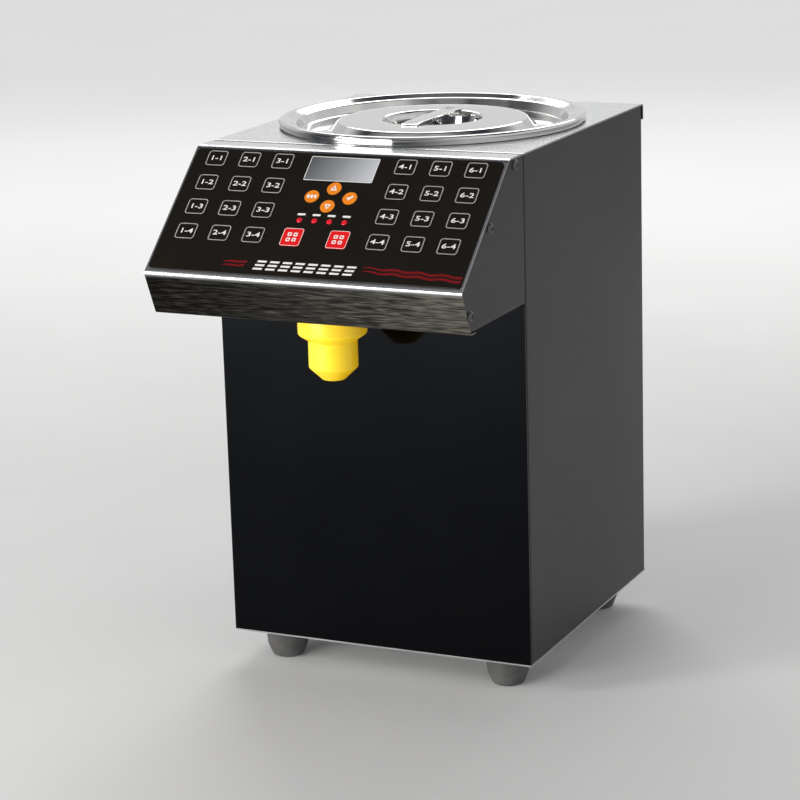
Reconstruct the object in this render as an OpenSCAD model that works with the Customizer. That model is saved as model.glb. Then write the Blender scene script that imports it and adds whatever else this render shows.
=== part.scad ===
// Counter-top syrup doser: sheet-metal casing with an overhanging keypad head,
// a round tank let into the top, and a gear pump that feeds a nozzle under the head.
// +X is right seen from the front, +Y is back, +Z is up, origin at the bottom centre.

/* [Casing] */
// Width over the side panels
body_w = 260; // [250:5:320]
// Height from the base pan's underside to the top plate
body_h = 403; // [390:1:460]
// Thickness of the casing sheet
sheet = 1.2; // [0.8:0.1:1.5]
// Inside radius of the sheet's bends
bend_r = 1.5; // [0.8:0.1:2.5]
// Width of the side panels' return flanges
flange_w = 14; // [12:1:20]
// Gap between neighbouring sheets
gap = 0.1; // [0.05:0.05:0.2]
// Distance from the side panels' rear edge to the back of the top cover
rear_lap = 4; // [4:0.5:10]
// Drop of the top cover's rear skirt
skirt_h = 13; // [8:1:25]

/* [Feet] */
// Height of a foot
foot_h = 26; // [20:1:35]
// Diameter of a foot at its top
foot_d = 36; // [30:1:40]
// Diameter of the flat that a foot stands on
foot_base_d = 25; // [22:1:28]
// Distance of a foot's centre from the casing's side
foot_side = 32; // [25:1:40]
// Distance of a foot's centre from the casing's front and back
foot_end = 30; // [25:1:45]

/* [Head] */
// Reach of the nose in front of the front panel
head_reach = 117; // [110:1:140]
// Height of the head from its underside to the top plate
head_h = 116; // [110:1:130]
// Reach of the top plate's brow in front of the front panel
brow_reach = 24.5; // [20:0.5:30]
// Height of the nose edge above the head's underside
nose_h = 34; // [28:1:40]
// How far the lip slants back below the nose
nose_back = 15; // [10:1:20]
// Outside radius of the brow bend
brow_r = 9; // [4:0.5:12]
// Outside radius of the nose bend
nose_r = 3.2; // [3:0.1:5]
// Width of the fascia's return under the head's floor
return_w = 9; // [7:0.5:10]

/* [Keypad] */
// Width of a portion key
key_w = 17; // [14:0.5:19]
// Height of a portion key
key_h = 15; // [12:0.5:17]
// Corner radius of a portion key
key_r = 2.5; // [1:0.5:4]
// Distance of the outermost key columns from the casing's sides
key_edge = 21.9; // [18:0.1:26]
// Spacing of the portion keys down the face
key_pitch_y = 23.5; // [21:0.1:24]
// Distance of the innermost key column from the middle
key_inner_x = 51.3; // [50:0.1:54]
// Distance of the first key row from the brow
key_top = 13; // [12:0.5:15]
// Diameter of a selector key
round_key_d = 11.5; // [10:0.5:14]
// Sideways distance of the left and right selector keys from the middle
round_key_dx = 15.7; // [15:0.1:20]
// Distance of the upper and lower selector keys from the middle of the four
round_key_dy = 8.4; // [8:0.1:8.8]
// Distance of the four selector keys' middle from the brow
round_key_v = 44.8; // [44:0.1:46]
// Side of a start key
start_key_w = 16.4; // [14:0.1:18]
// Distance of a start key from the middle
start_key_x = 19; // [16:0.5:24]
// Distance of the start keys from the brow
start_key_v = 83.4; // [81:0.1:86]
// Travel of every key
key_travel = 0.4; // [0.2:0.05:0.6]
// How far the keys stand above the overlay
key_proud = 0.25; // [0.1:0.05:0.4]
// Gap round a key in its window
window_gap = 0.2; // [0.15:0.05:0.3]
// Thickness of the overlay with its spacer
overlay_t = 1.2; // [1:0.1:1.5]
// Bare steel left beside the overlay
overlay_side = 2.2; // [2:0.1:5]
// Bare steel left above the overlay
overlay_top = 4; // [4:0.5:5]
// Bare steel left below the overlay
overlay_foot = 4.2; // [4:0.1:6]
// Corner radius of the overlay
overlay_r = 3; // [2:0.5:8]
// Width of the display
display_w = 56; // [48:1:58]
// Height of the display
display_h = 22; // [18:1:22]
// Distance of the display's middle from the brow
display_v = 18; // [17:0.5:18.5]
// Diameter of an indicator lamp
lamp_d = 5; // [3:0.5:5.5]
// Spacing of the indicator lamps
lamp_pitch = 12.4; // [9:0.1:13]
// Distance of the lamps from the brow
lamp_v = 67; // [66:0.5:68]
// Depth of the control board's face below the fascia's outer face
board_depth = 8; // [7:0.5:10]

/* [Tank and lid] */
// Inside diameter of the tank
tank_d = 220; // [200:1:222]
// Depth of the tank below its flange
tank_depth = 190; // [160:1:200]
// Wall of the tank
tank_wall = 1; // [0.8:0.1:1.2]
// Radius between the tank's wall and its floor
tank_r = 22; // [10:1:30]
// Width of the tank's flange
tank_flange = 11.5; // [9:0.5:12]
// Space between the front panel and the tank, for the riser hose
riser_gap = 17; // [16:0.5:22]
// Space between the tank and the rear panel
tank_rear_gap = 20; // [18:0.5:30]
// Width of the heater band
band_h = 45; // [35:1:60]
// Thickness of the tank's gasket
gasket_t = 1.5; // [1:0.1:2]
// Sheet of the lid
lid_t = 0.8; // [0.6:0.1:1]
// How far the lid's rim stands out past the tank's flange
lid_lap = 1.3; // [1:0.1:3]
// Height of the lid's rim
rim_h = 4; // [3.5:0.1:6]
// Width of the lid's rolled rim
rim_w = 6; // [5:0.1:8]
// Depth of the ring channel below the tank's flange
channel_h = 6.5; // [4:0.5:10]
// Diameter of the lid's plateau
plateau_d = 152; // [140:1:160]
// Diameter of the well at its edge
well_d = 80; // [70:1:84]
// Depth of the well below the plateau
well_h = 18; // [15:0.5:22]
// Width of the handle strap
strap_w = 14; // [10:1:26]
// Thickness of the handle strap
strap_t = 1.2; // [1:0.1:2]

/* [Syrup line] */
// Distance of the nozzle's axis in front of the front panel
nozzle_reach = 64; // [62:0.5:70]
// Diameter of the nozzle cap's flange
cap_flange_d = 52.6; // [48:0.1:54]
// Height of the nozzle cap's flange
cap_flange_h = 16; // [12:0.5:18]
// Diameter of the nozzle cap's barrel
cap_d = 37.5; // [36:0.5:42]
// Diameter of the nozzle cap's tip
cap_tip_d = 17.6; // [15:0.1:22]
// Height of the nozzle cap
cap_h = 51.5; // [48:0.5:60]
// Wall of the nozzle cap
cap_wall = 2.5; // [2:0.1:3]
// Diameter of the spout's thread through the head's floor
thread_d = 21.8; // [18:0.1:21.8]
// Diameter of the spout's nut
nut_d = 28; // [26:0.5:32]
// Thickness of the spout's nut
nut_h = 7; // [5:0.5:9]
// Height of the spout's stem above the head's floor
stem_rise = 34; // [30:1:38]
// Length of hose pushed over each stub
grip_len = 14; // [10:1:16]
// Outside diameter of the hoses
hose_d = 12; // [11:0.1:12.4]
// Bore of the hoses
hose_bore = 8; // [7:0.1:9]
// Radius of the hoses' bends along their middle
hose_bend = 15; // [14:1:18]

/* [Gear pump] */
// Teeth of each pump gear
teeth = 14; // [13:1:16]
// Module of the pump gears
gear_module = 2.2; // [2:0.05:2.3]
// Width of the pump gears
gear_w = 14; // [10:1:18]
// Diameter of the gear shafts
shaft_d = 8; // [7:0.5:9]
// Height of the pump's ports above the base pan
port_h = 53; // [50:1:70]
// Reach of the drive shaft into the motor
shaft_reach = 16; // [12:1:20]
// Sheet of the pump's bracket
bracket_t = 3; // [2:0.5:4]
// Foot of the pump's bracket, under the motor
bracket_foot = 30; // [24:1:40]
// Diameter of the motor
motor_d = 60; // [50:1:64]
// Length of the motor
motor_len = 92; // [80:1:95]

/* [Power] */
// Length of the power supply
psu_len = 110; // [90:1:115]
// Width of the power supply
psu_w = 78; // [60:1:85]
// Height of the power supply
psu_h = 38; // [30:1:45]
// Distance of the power inlet's middle from the casing's right side
inlet_side = 52; // [40:1:70]
// Height of the power inlet's middle above the base pan
inlet_h = 52; // [48:1:80]
// Tilt of the mains rocker to each side
rocker_tilt = 9; // [6:1:11]

/* [Hidden] */
$fn = 64;
hw = body_w / 2;
body_d = riser_gap + tank_d + 2 * tank_wall + tank_rear_gap;
total_d = head_reach + body_d + rear_lap;
front_y = head_reach - total_d / 2;
rear_y = front_y + body_d;
base_z = foot_h;
floor_z = base_z + sheet;
top_z = foot_h + body_h;
plate_z = top_z - sheet;
head_z = top_z - head_h;
under_z = head_z + sheet + gap;
seam_y = front_y + sheet;
sink = 0.2;

brow = [front_y - brow_reach, top_z];
nose = [front_y - head_reach, head_z + nose_h];
chin = [nose.x + nose_back, head_z];
slope_a = atan2(brow.y - nose.y, brow.x - nose.x);
slope_len = norm(brow - nose);

overlay_w = body_w - 2 * overlay_side;
overlay_h = slope_len - overlay_top - overlay_foot;
key_pitch_x = (hw - key_edge - key_inner_x) / 2;
pad_bottom = key_travel + gap;
board_w = 2 * (key_inner_x + 2 * key_pitch_x) + 20;
board_top_v = key_top - 7;
board_h = 3 * key_pitch_y + 24;
board_t = 1.6;
switch_w = 6;
switch_h = board_depth - sheet - key_travel - 2 * gap - 1.6;
stem_d = 4;
stem_hole = stem_d + 2;
display_rest = 3;
stud_d = 5;
clip_d = 12;
screw_d = 4;
screw_hole = screw_d + 0.4;
screw_head_d = 8;
screw_head_h = 2.4;

tank_ri = tank_d / 2;
tank_y = front_y + riser_gap + tank_wall + tank_ri;
tank_top = top_z + gasket_t + tank_wall;
flange_r = tank_ri + tank_wall + tank_flange - 1;
hole_r = tank_ri + tank_wall + 2;
tank_floor = tank_top - tank_depth;
stub_z = tank_floor - grip_len - 8;
lid_r = flange_r + lid_lap;
lid_base = tank_top + 0.3;
plateau_z = lid_base + lid_t + 0.2;
well_floor = plateau_z - well_h;

nozzle_y = front_y - nozzle_reach;
cap_top = under_z - 0.2;
cap_fit = 0.3;
collar_r = cap_d / 2 - cap_wall - cap_fit;
spout_top = under_z + stem_rise;
barb_r = hose_bore / 2 - 0.05;
run_y = front_y + (sheet + riser_gap) / 2;
run_z = spout_top + hose_bend + 4;

pitch_r = teeth * gear_module / 2;
tip_r = pitch_r + gear_module;
root_r = pitch_r - 1.25 * gear_module;
gear_base_r = pitch_r * cos(20);
backlash = 0.25;
shaft_fit = 0.05;
pump_y = front_y + 64;
port_z = floor_z + port_h;
drive_z = port_z - pitch_r;
idler_z = port_z + pitch_r;
cavity_gap = 0.15;
pump_half_x = gear_w / 2 + 5;
pump_half_y = tip_r + 11;
pump_half_z = pitch_r + tip_r + 7;
pump_face_x = gear_w / 2 + gap;

inlet_x = hw - inlet_side;
inlet_w = 27;
inlet_tall = 48;
inlet_deep = 30;
inlet_z = floor_z + inlet_h;
rear_out = rear_y + gap + sheet;
socket_z = inlet_z - 10;
rocker_z = inlet_z + 14;
rocker_r = 8;
rocker_y = rear_out - 3;

columns = [for (i = [0:5]) (i < 3 ? -1 : 1) * key_inner_x + (i < 3 ? i - 2 : i - 3) * key_pitch_x];
portion_keys = [for (i = [0:5], j = [0:3]) [columns[i], key_top + j * key_pitch_y]];
portion_names = [for (i = [1:6], j = [1:4]) str("key_", i, "_", j)];
round_keys = [[0, -round_key_dy], [-round_key_dx, 0], [round_key_dx, 0], [0, round_key_dy]];
round_names = ["key_up", "key_left", "key_right", "key_down"];
start_keys = [[-start_key_x, start_key_v], [start_key_x, start_key_v]];
start_names = ["key_start_left", "key_start_right"];
stems = concat(portion_keys, [for (p = round_keys) [p.x, round_key_v + p.y]], start_keys);
lamps = [for (i = [0:3]) [(i - 1.5) * lamp_pitch, lamp_v]];
studs = [for (s = [-1, 1], j = [0.5, 2.5]) [s * (key_inner_x + 1.5 * key_pitch_x), key_top + j * key_pitch_y]];
feet_at = [for (s = [-1, 1], y = [front_y + foot_end, rear_y - foot_end]) [s * (hw - foot_side), y]];
rear_screw_z = [for (i = [0:2]) floor_z + 30 + i * (body_h - 75) / 2];

// Places of the fascia's side screws as [y, z], with the angle of the sheet that each clip hangs from
side_screws = [[front_y - brow_reach + 11, top_z - 6, 0],
               [brow.x - slope_len * 0.47 * cos(slope_a) + 8 * sin(slope_a),
                brow.y - slope_len * 0.47 * sin(slope_a) - 8 * cos(slope_a), slope_a],
               [nose.x + 14.6, nose.y - 19.5, 90 + atan2(nose_back, nose_h)]];

// ---- outlines ----

function unit(v) = v / norm(v);
function left_of(v) = [-v.y, v.x];
function turn(t) = t > 180 ? t - 360 : t < -180 ? t + 360 : t;

// Arc of radius r in the corner b of the path a-b-c
function corner(a, b, c, r, n = 5) =
    let (u = unit(a - b), w = unit(c - b), half = acos(u * w) / 2,
         centre = b + unit(u + w) * r / sin(half),
         v0 = b + u * r / tan(half) - centre, v1 = b + w * r / tan(half) - centre,
         a0 = atan2(v0.y, v0.x), sweep = turn(atan2(v1.y, v1.x) - a0))
    r <= 0 ? [b] : [for (i = [0:n]) centre + r * [cos(a0 + sweep * i / n), sin(a0 + sweep * i / n)]];

// Point i of a path, with the path carried on straight past its ends
function on_path(p, i) =
    i < 0 ? 2 * p[0] - p[1] : i >= len(p) ? 2 * p[len(p) - 1] - p[len(p) - 2] : p[i];

// Corner i of a path moved to the path's left by t
function moved(p, i, t) =
    let (n1 = left_of(unit(p[i] - on_path(p, i - 1))), n2 = left_of(unit(on_path(p, i + 1) - p[i])))
    p[i] + (n1 + n2) * t / (1 + n1 * n2);

// Outline of a bent sheet: its face follows the path p, its thickness t lies to the left,
// and r holds the inside radius of each bend
function bent(p, r, t) =
    let (far = [for (i = [0:len(p) - 1]) moved(p, i, t)],
         side = [for (i = [0:len(p) - 1])
             cross(p[i] - on_path(p, i - 1), on_path(p, i + 1) - p[i])],
         face = [for (i = [0:len(p) - 1]) each corner(on_path(p, i - 1), p[i], on_path(p, i + 1),
             r[i] <= 0 ? 0 : side[i] > 0 ? r[i] + t : r[i])],
         back = [for (i = [len(p) - 1:-1:0]) each corner(on_path(far, i + 1), far[i], on_path(far, i - 1),
             r[i] <= 0 ? 0 : side[i] > 0 ? r[i] : r[i] + t)])
    concat(face, back);

// Rectangle centred on the origin with rounded corners
function plate(w, h, r) =
    let (p = [[w, h], [-w, h], [-w, -h], [w, -h]] / 2)
    [for (i = [0:3]) each corner(p[(i + 3) % 4], p[i], p[(i + 1) % 4], r)];

// Extrudes an outline drawn in (y, z) along X over the width w, centred
module across(w) rotate([90, 0, 90]) translate([0, 0, -w / 2]) linear_extrude(w) children();

// Frame of the sloped face: x to the right, y up the slope, z out of the face,
// with v counted down the slope from the brow
module on_slope(at = [0, 0], out = 0)
    translate([0, brow.x, brow.y]) rotate([slope_a, 0, 0]) translate([at.x, -at.y, out]) children();

module mirrored_x() { children(); mirror([1, 0, 0]) children(); }

// ---- casing ----

module base_pan() color("silver") difference() {
    union() {
        translate([-hw, front_y, base_z]) cube([body_w, rear_out - front_y, sheet]);
        // stiffening angles welded along the four edges
        mirrored_x() translate([hw - 2 * sheet - gap, seam_y + flange_w, base_z])
            cube([sheet, body_d - 3 * flange_w, flange_w]);
        for (y = [seam_y + sheet + 2 * gap, rear_y - 2 * sheet - gap])
            translate([-hw + 2 * flange_w, y, base_z]) cube([body_w - 4 * flange_w, sheet, flange_w]);
    }
    for (p = feet_at) translate([p.x, p.y, base_z - 1]) cylinder(d = 6.4, h = sheet + 2);
    // cooling slots under the power supply
    for (i = [-4:4]) translate([-hw / 2 - 15, rear_y - 90 + i * 9, base_z - 1])
        cube([50, 3.5, sheet + 2]);
}

module side_panel() difference() {
    translate([0, 0, floor_z + gap]) linear_extrude(plate_z - floor_z - 2 * gap)
        polygon(bent([[hw - flange_w, seam_y + gap], [hw, seam_y + gap], [hw, rear_y], [hw - flange_w, rear_y]],
                     [0, bend_r, bend_r, 0], sheet));
    for (z = rear_screw_z) translate([hw - flange_w / 2 - 1, rear_y + 1, z])
        rotate([90, 0, 0]) cylinder(d = screw_hole, h = sheet + 2);
}

module right_side_panel() color("dimgray") side_panel();
module left_side_panel() color("dimgray") mirror([1, 0, 0]) side_panel();

module front_panel() color("#141618") {
    translate([-hw, front_y, floor_z + gap]) cube([body_w, sheet, head_z - floor_z - gap]);
    // tongue behind the head's floor, between the cheeks
    translate([-hw + sheet + 0.8, front_y, head_z - sink]) cube([body_w - 2 * sheet - 1.6, sheet, 14]);
}

module louvre(w) {
    // hood pressed out over the slot, open at its lower edge
    across(w) polygon(bent([[rear_out - sheet, 7], [rear_out + 0.1, 6.4], [rear_out + 2.6, 0.5]],
                           [0, 1, 0], -sheet * 0.75));
}

module rear_panel() color("dimgray") difference() {
    union() {
        difference() {
            translate([-hw + 1, rear_y + gap, floor_z + gap])
                cube([body_w - 2, sheet, plate_z - floor_z - 2 * gap]);
            for (s = [-1, 1], i = [0:7])
                translate([s * hw / 2 - 35, rear_y, floor_z + body_h * 0.42 + i * 16]) cube([70, 4, 5]);
        }
        for (s = [-1, 1], i = [0:7])
            translate([s * hw / 2, 0, floor_z + body_h * 0.42 + i * 16 - 0.5]) louvre(74);
    }
    translate([inlet_x - inlet_w / 2, rear_y, inlet_z - inlet_tall / 2]) cube([inlet_w, 4, inlet_tall]);
    for (s = [-1, 1], z = rear_screw_z) translate([s * (hw - flange_w / 2 - 1), rear_out + 1, z])
        rotate([90, 0, 0]) cylinder(d = screw_hole, h = sheet + 2);
}

module top_cover() color("gainsboro") difference() {
    across(body_w) polygon(bent([[total_d / 2, top_z - skirt_h], [total_d / 2, top_z],
        [front_y + gap / 2, top_z], [front_y + gap / 2, top_z - 9]], [0, bend_r, bend_r, 0], sheet));
    translate([0, tank_y, plate_z - 1]) cylinder(r = hole_r, h = sheet + 2, $fn = 96);
    // the front edge turns down between the cheeks' flanges
    mirrored_x() translate([hw - flange_w - 3, front_y - 1, top_z - 20]) cube([20, 5, 20 - sheet - gap]);
}

// ---- head ----

fascia_path = [[front_y - gap / 2, top_z - 9], [front_y - gap / 2, top_z], brow, nose, chin,
               [chin.x + return_w, chin.y]];

module head_housing() color("dimgray") difference() {
    intersection() {
        rotate([90, 0, 0]) translate([0, 0, -seam_y + 3 * gap]) linear_extrude(head_reach)
            polygon(bent([[-hw, top_z], [-hw, under_z], [hw, under_z], [hw, top_z]],
                         [0, bend_r, bend_r, 0], sheet));
        across(body_w) polygon(
            let (inner = [for (i = [1:4]) moved(fascia_path, i, sheet + gap)])
            [[seam_y, inner[0].y], each corner([seam_y, inner[0].y], inner[1], inner[2], brow_r - sheet),
             each corner(inner[1], inner[2], inner[3], nose_r - sheet),
             each corner(inner[2], inner[3], [seam_y, inner[3].y], bend_r), [seam_y, inner[3].y]]);
    }
    // the floor stops at the front panel and the cheeks at the side panels
    translate([-hw + sheet + 0.3, front_y - gap, under_z - 1]) cube([body_w - 2 * sheet - 0.6, 9, sheet + 3]);
    translate([0, nozzle_y, under_z - 1]) cylinder(d = thread_d + 0.2, h = sheet + 2);
    for (s = [-1, 1], p = side_screws) translate([s * hw, p.x, p.y])
        rotate([0, 90, 0]) cylinder(d = screw_hole, h = 3 * sheet, center = true);
}

// Clip inside a cheek, welded to the fascia, with the hole for a side screw
module clip(p) translate([hw - 2 * sheet - gap, p.x, p.y]) rotate([p.z, 0, 0]) difference() {
    translate([0, -clip_d / 2, -clip_d / 2]) cube([sheet, clip_d, clip_d]);
    translate([-1, 0, 0]) rotate([0, 90, 0]) cylinder(d = screw_hole, h = sheet + 2);
}

module control_fascia() color("gray") difference() {
    union() {
        across(body_w) polygon(bent(fascia_path, [0, bend_r, brow_r - sheet, nose_r - sheet, bend_r, 0], sheet));
        mirrored_x() intersection() {
            for (p = side_screws) clip(p);
            across(3 * body_w) polygon([for (i = [0:5]) moved(fascia_path, i, sheet / 2)]);
        }
        for (p = studs) on_slope(p, -board_depth) cylinder(d = stud_d, h = board_depth - sheet / 2);
    }
    mirrored_x() translate([hw - flange_w - 3, seam_y - 9, top_z - 20]) cube([20, 9, 20 - sheet - gap]);
    for (p = stems) on_slope(p, -sheet - 1) cylinder(d = stem_hole, h = sheet + 2);
    for (p = lamps) on_slope(p, -sheet - 1) cylinder(d = lamp_d + 0.5, h = sheet + 2);
    on_slope([0, display_v], -sheet - 1) linear_extrude(sheet + 2)
        polygon(plate(display_w - 2 * display_rest, display_h - 2 * display_rest, 1));
}

// ---- keypad ----

module keypad_overlay() color("#1c1914") on_slope() linear_extrude(overlay_t) difference() {
    translate([0, -overlay_top - overlay_h / 2]) polygon(plate(overlay_w, overlay_h, overlay_r));
    for (p = portion_keys) translate([p.x, -p.y])
        polygon(plate(key_w + 2 * window_gap, key_h + 2 * window_gap, key_r + window_gap));
    for (p = round_keys) translate([p.x, -round_key_v - p.y]) circle(d = round_key_d + 2 * window_gap);
    for (p = start_keys) translate([p.x, -p.y])
        polygon(plate(start_key_w + 2 * window_gap, start_key_w + 2 * window_gap, 2 + window_gap));
    for (p = lamps) translate([p.x, -p.y]) circle(d = lamp_d + 0.4);
    translate([0, -display_v]) polygon(plate(display_w + 0.3, display_h + 0.3, 1));
}

module display_window() color("lightgray") on_slope([0, display_v])
    linear_extrude(overlay_t) polygon(plate(display_w, display_h, 1));

module key_stem() translate([0, 0, -board_depth + switch_h + 1.6 + key_travel + gap])
    cylinder(d = stem_d, h = pad_bottom + board_depth - switch_h - 1.6 - key_travel - gap + sink);

module portion_key(p) color("#1c1914") on_slope(p) {
    translate([0, 0, pad_bottom]) linear_extrude(overlay_t + key_proud - pad_bottom)
        polygon(plate(key_w, key_h, key_r));
    key_stem();
}

module round_key(p) color("darkorange") on_slope([p.x, round_key_v + p.y]) {
    translate([0, 0, pad_bottom]) cylinder(d = round_key_d, h = overlay_t + key_proud - pad_bottom);
    key_stem();
}

module start_key(p) color("crimson") on_slope(p) {
    translate([0, 0, pad_bottom]) linear_extrude(overlay_t + key_proud - pad_bottom)
        polygon(plate(start_key_w, start_key_w, 2));
    key_stem();
}

module indicator_lamps() color("red") for (p = lamps) on_slope(p, -board_depth)
    rotate_extrude() polygon(concat([[0, 0], [lamp_d / 2 + 0.4, 0], [lamp_d / 2 + 0.4, 1], [lamp_d / 2, 1]],
        [for (a = [0:15:90]) [lamp_d / 2 * cos(a), board_depth + overlay_t - 0.7 + 1.2 * sin(a)]]));

module control_board() color("darkgreen") {
    on_slope([0, board_top_v + board_h / 2], -board_depth - board_t)
        linear_extrude(board_t) polygon(plate(board_w, board_h, 2));
    for (p = stems) on_slope(p, -board_depth - sink) {
        translate([-switch_w / 2, -switch_w / 2, 0]) cube([switch_w, switch_w, switch_h + sink]);
        cylinder(d = 3.5, h = switch_h + 1.6 + sink);
    }
    on_slope([0, display_v], -board_depth - sink) linear_extrude(board_depth - sheet - 1 + sink)
        polygon(plate(display_w, display_h, 1));
    // connectors along the board's back
    for (x = [-70, -30, 40]) on_slope([x, board_top_v + board_h / 2], -board_depth - board_t - 8)
        translate([-12, -4, 0]) cube([24, 8, 8 + sink]);
}

// ---- feet and fasteners ----

module feet() color("#4a4a4a") for (p = feet_at) translate([p.x, p.y, 0]) rotate_extrude()
    polygon(concat([[6.5, 0]],
        corner([6.5, 0], [foot_base_d / 2, 0], [foot_d / 2 - 1.5, foot_h * 0.38], 3),
        corner([foot_base_d / 2, 0], [foot_d / 2 - 1.5, foot_h * 0.38], [foot_d / 2, foot_h], 6),
        [[foot_d / 2, foot_h], [3.2, foot_h], [3.2, 9], [6.5, 9]]));

// Pan-head screw along -Z, seated with its head on z = 0
module pan_screw(len) {
    rotate_extrude() polygon(concat([[0, -len], [screw_d / 2, -len], [screw_d / 2, 0], [screw_head_d / 2, 0]],
        [for (a = [15:15:90]) [screw_head_d / 2 * cos(a), screw_head_h * sin(a)]]));
}

module screws() color("silver") {
    for (s = [-1, 1], p = side_screws) translate([s * hw, p.x, p.y])
        rotate([0, s * 90, 0]) pan_screw(8);
    for (s = [-1, 1], z = rear_screw_z) translate([s * (hw - flange_w / 2 - 1), rear_out, z])
        rotate([-90, 0, 0]) pan_screw(8);
    for (p = feet_at) translate([p.x, p.y, 9]) rotate_extrude() polygon([[0, -4], [5, -4], [5, 0], [3, 0],
        [3, foot_h + sheet - 9], [5.5, foot_h + sheet - 9], [5.5, foot_h + sheet - 4],
        [3, foot_h + sheet - 4], [3, foot_h + sheet - 2], [0, foot_h + sheet - 2]]);
}

// ---- tank and lid ----

module tank() color("silver") translate([0, tank_y, 0]) rotate_extrude($fn = 96)
    polygon(bent([[barb_r - tank_wall, stub_z], [barb_r - tank_wall, tank_floor], [tank_ri, tank_floor + 2],
                  [tank_ri, tank_top], [flange_r, tank_top], [flange_r, tank_top - 2]],
                 [0, 1, tank_r, 2, 1, 0], -tank_wall));

module tank_gasket() color("white") translate([0, tank_y, top_z]) rotate_extrude($fn = 96)
    translate([hole_r - 1, 0]) square([flange_r - hole_r - 1.5, gasket_t]);

// Half section of the lid, from the rolled rim inwards
lid_path = [[lid_r, lid_base - 1.2], [lid_r, lid_base + rim_h], [lid_r - rim_w, lid_base + rim_h],
            [tank_ri + 1.5, lid_base + lid_t], [tank_ri - 1, lid_base + lid_t],
            [tank_ri - 4, tank_top - channel_h], [plateau_d / 2 + 7, tank_top - channel_h],
            [plateau_d / 2, plateau_z - 0.5], [well_d / 2, plateau_z],
            [well_d / 2 - 4, well_floor], [0, well_floor]];

module lid() color("gainsboro") translate([0, tank_y, 0]) rotate_extrude($fn = 96)
    polygon(bent(lid_path, [0, 1.6, 1.6, 1.2, 0.8, 2, 3, 3, 2, 2, 0], lid_t));

module lid_handle() color("gainsboro") translate([0, tank_y, 0]) across(strap_w)
    polygon(bent([[well_d / 2 + 5, plateau_z + strap_t], [well_d / 2 + 1, plateau_z + strap_t],
                  [well_d / 2 - 6, plateau_z + strap_t + 0.6], [6 - well_d / 2, plateau_z + strap_t + 0.6],
                  [-well_d / 2 - 1, plateau_z + strap_t], [-well_d / 2 - 5, plateau_z + strap_t]],
                 [0, 2, 2, 2, 2, 0], strap_t));

module heater_band() color("darkgray") translate([0, tank_y, tank_floor + tank_r + 10]) {
    rotate([0, 0, 100]) rotate_extrude(angle = 340, $fn = 96)
        translate([tank_ri + tank_wall + gap, 0]) square([1.2, band_h]);
    // terminal box and the two clamp ears at the band's split
    translate([-12, tank_ri + tank_wall + 0.8, 8]) cube([24, 10, band_h * 0.66]);
    for (a = [80, 100]) rotate([0, 0, a]) translate([tank_ri + tank_wall + 0.6, -1, band_h * 0.27])
        cube([9, 2, band_h * 0.44]);
}

// ---- syrup line ----

module spout() color("silver") translate([0, nozzle_y, 0]) rotate_extrude()
    polygon([[2.5, under_z - cap_h * 0.62], [collar_r, under_z - cap_h * 0.62], [collar_r, under_z - 0.1],
             [thread_d / 2, under_z - 0.1], [thread_d / 2, under_z + sheet + 0.1],
             [nut_d / 2, under_z + sheet + 0.1],
             [nut_d / 2, under_z + sheet + nut_h], [barb_r, under_z + sheet + nut_h + 2],
             [barb_r, spout_top], [2.5, spout_top]]);

module nozzle_cap() color("gold") translate([0, nozzle_y, 0]) rotate_extrude()
    polygon(let (r = cap_d / 2, f = cap_flange_d / 2, tip = cap_tip_d / 2, low = cap_top - cap_h)
        concat([[collar_r + cap_fit, cap_top], [collar_r + cap_fit, low + 16], [4, low + 4], [4, low]],
               corner([4, low], [tip, low], [r, low + 9.5], 1.5), [[r, low + 9.5]],
               corner([r, low], [r, cap_top - cap_flange_h - 5], [f, cap_top - cap_flange_h], 2),
               corner([r, cap_top - cap_flange_h - 5], [f, cap_top - cap_flange_h], [f, cap_top], 3),
               [[f, cap_top]]));

// Straight hose from z = 0 upwards
module hose(len) difference() {
    cylinder(d = hose_d, h = len);
    translate([0, 0, -1]) cylinder(d = hose_bore, h = len + 2);
}

// Quarter bend in the (y, z) plane: starts at the origin going up and ends going to -Y
module hose_bend() translate([0, -hose_bend, 0]) rotate([90, 0, 90]) rotate_extrude(angle = 90)
    translate([hose_bend, 0]) difference() {
        circle(d = hose_d);
        circle(d = hose_bore);
    }

module hoses() color("whitesmoke") {
    front_port = pump_y - pump_half_y - 1;
    back_port = pump_y + pump_half_y + 1;
    // delivery: out of the pump to the front, up before the tank, over to the spout
    translate([0, front_port, port_z]) rotate([90, 0, 0]) hose(front_port - run_y - hose_bend);
    translate([0, run_y + hose_bend, port_z]) mirror([0, 1, 0]) rotate([-90, 0, 0]) hose_bend();
    translate([0, run_y, port_z + hose_bend]) hose(run_z - port_z - 2 * hose_bend);
    translate([0, run_y, run_z - hose_bend]) hose_bend();
    translate([0, run_y - hose_bend, run_z]) rotate([90, 0, 0]) hose(run_y - nozzle_y - 2 * hose_bend);
    translate([0, nozzle_y, run_z - hose_bend]) mirror([0, 1, 0]) hose_bend();
    translate([0, nozzle_y, spout_top - grip_len]) hose(run_z - hose_bend - spout_top + grip_len);
    // suction: down from the tank's outlet and forward into the pump
    translate([0, back_port, port_z]) rotate([-90, 0, 0]) hose(tank_y - back_port - hose_bend);
    translate([0, tank_y - hose_bend, port_z]) rotate([-90, 0, 0]) hose_bend();
    translate([0, tank_y, port_z + hose_bend]) hose(stub_z + grip_len - port_z - hose_bend);
}

// ---- gear pump ----

function polar(r, a) = r * [cos(a), sin(a)];
function inv(t) = t - atan(t * PI / 180);
tip_roll = sqrt(pow(tip_r / gear_base_r, 2) - 1) * 180 / PI;
tooth_half = 90 / teeth - backlash / 4 / pitch_r * 180 / PI + (tan(20) * 180 / PI - 20);

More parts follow.
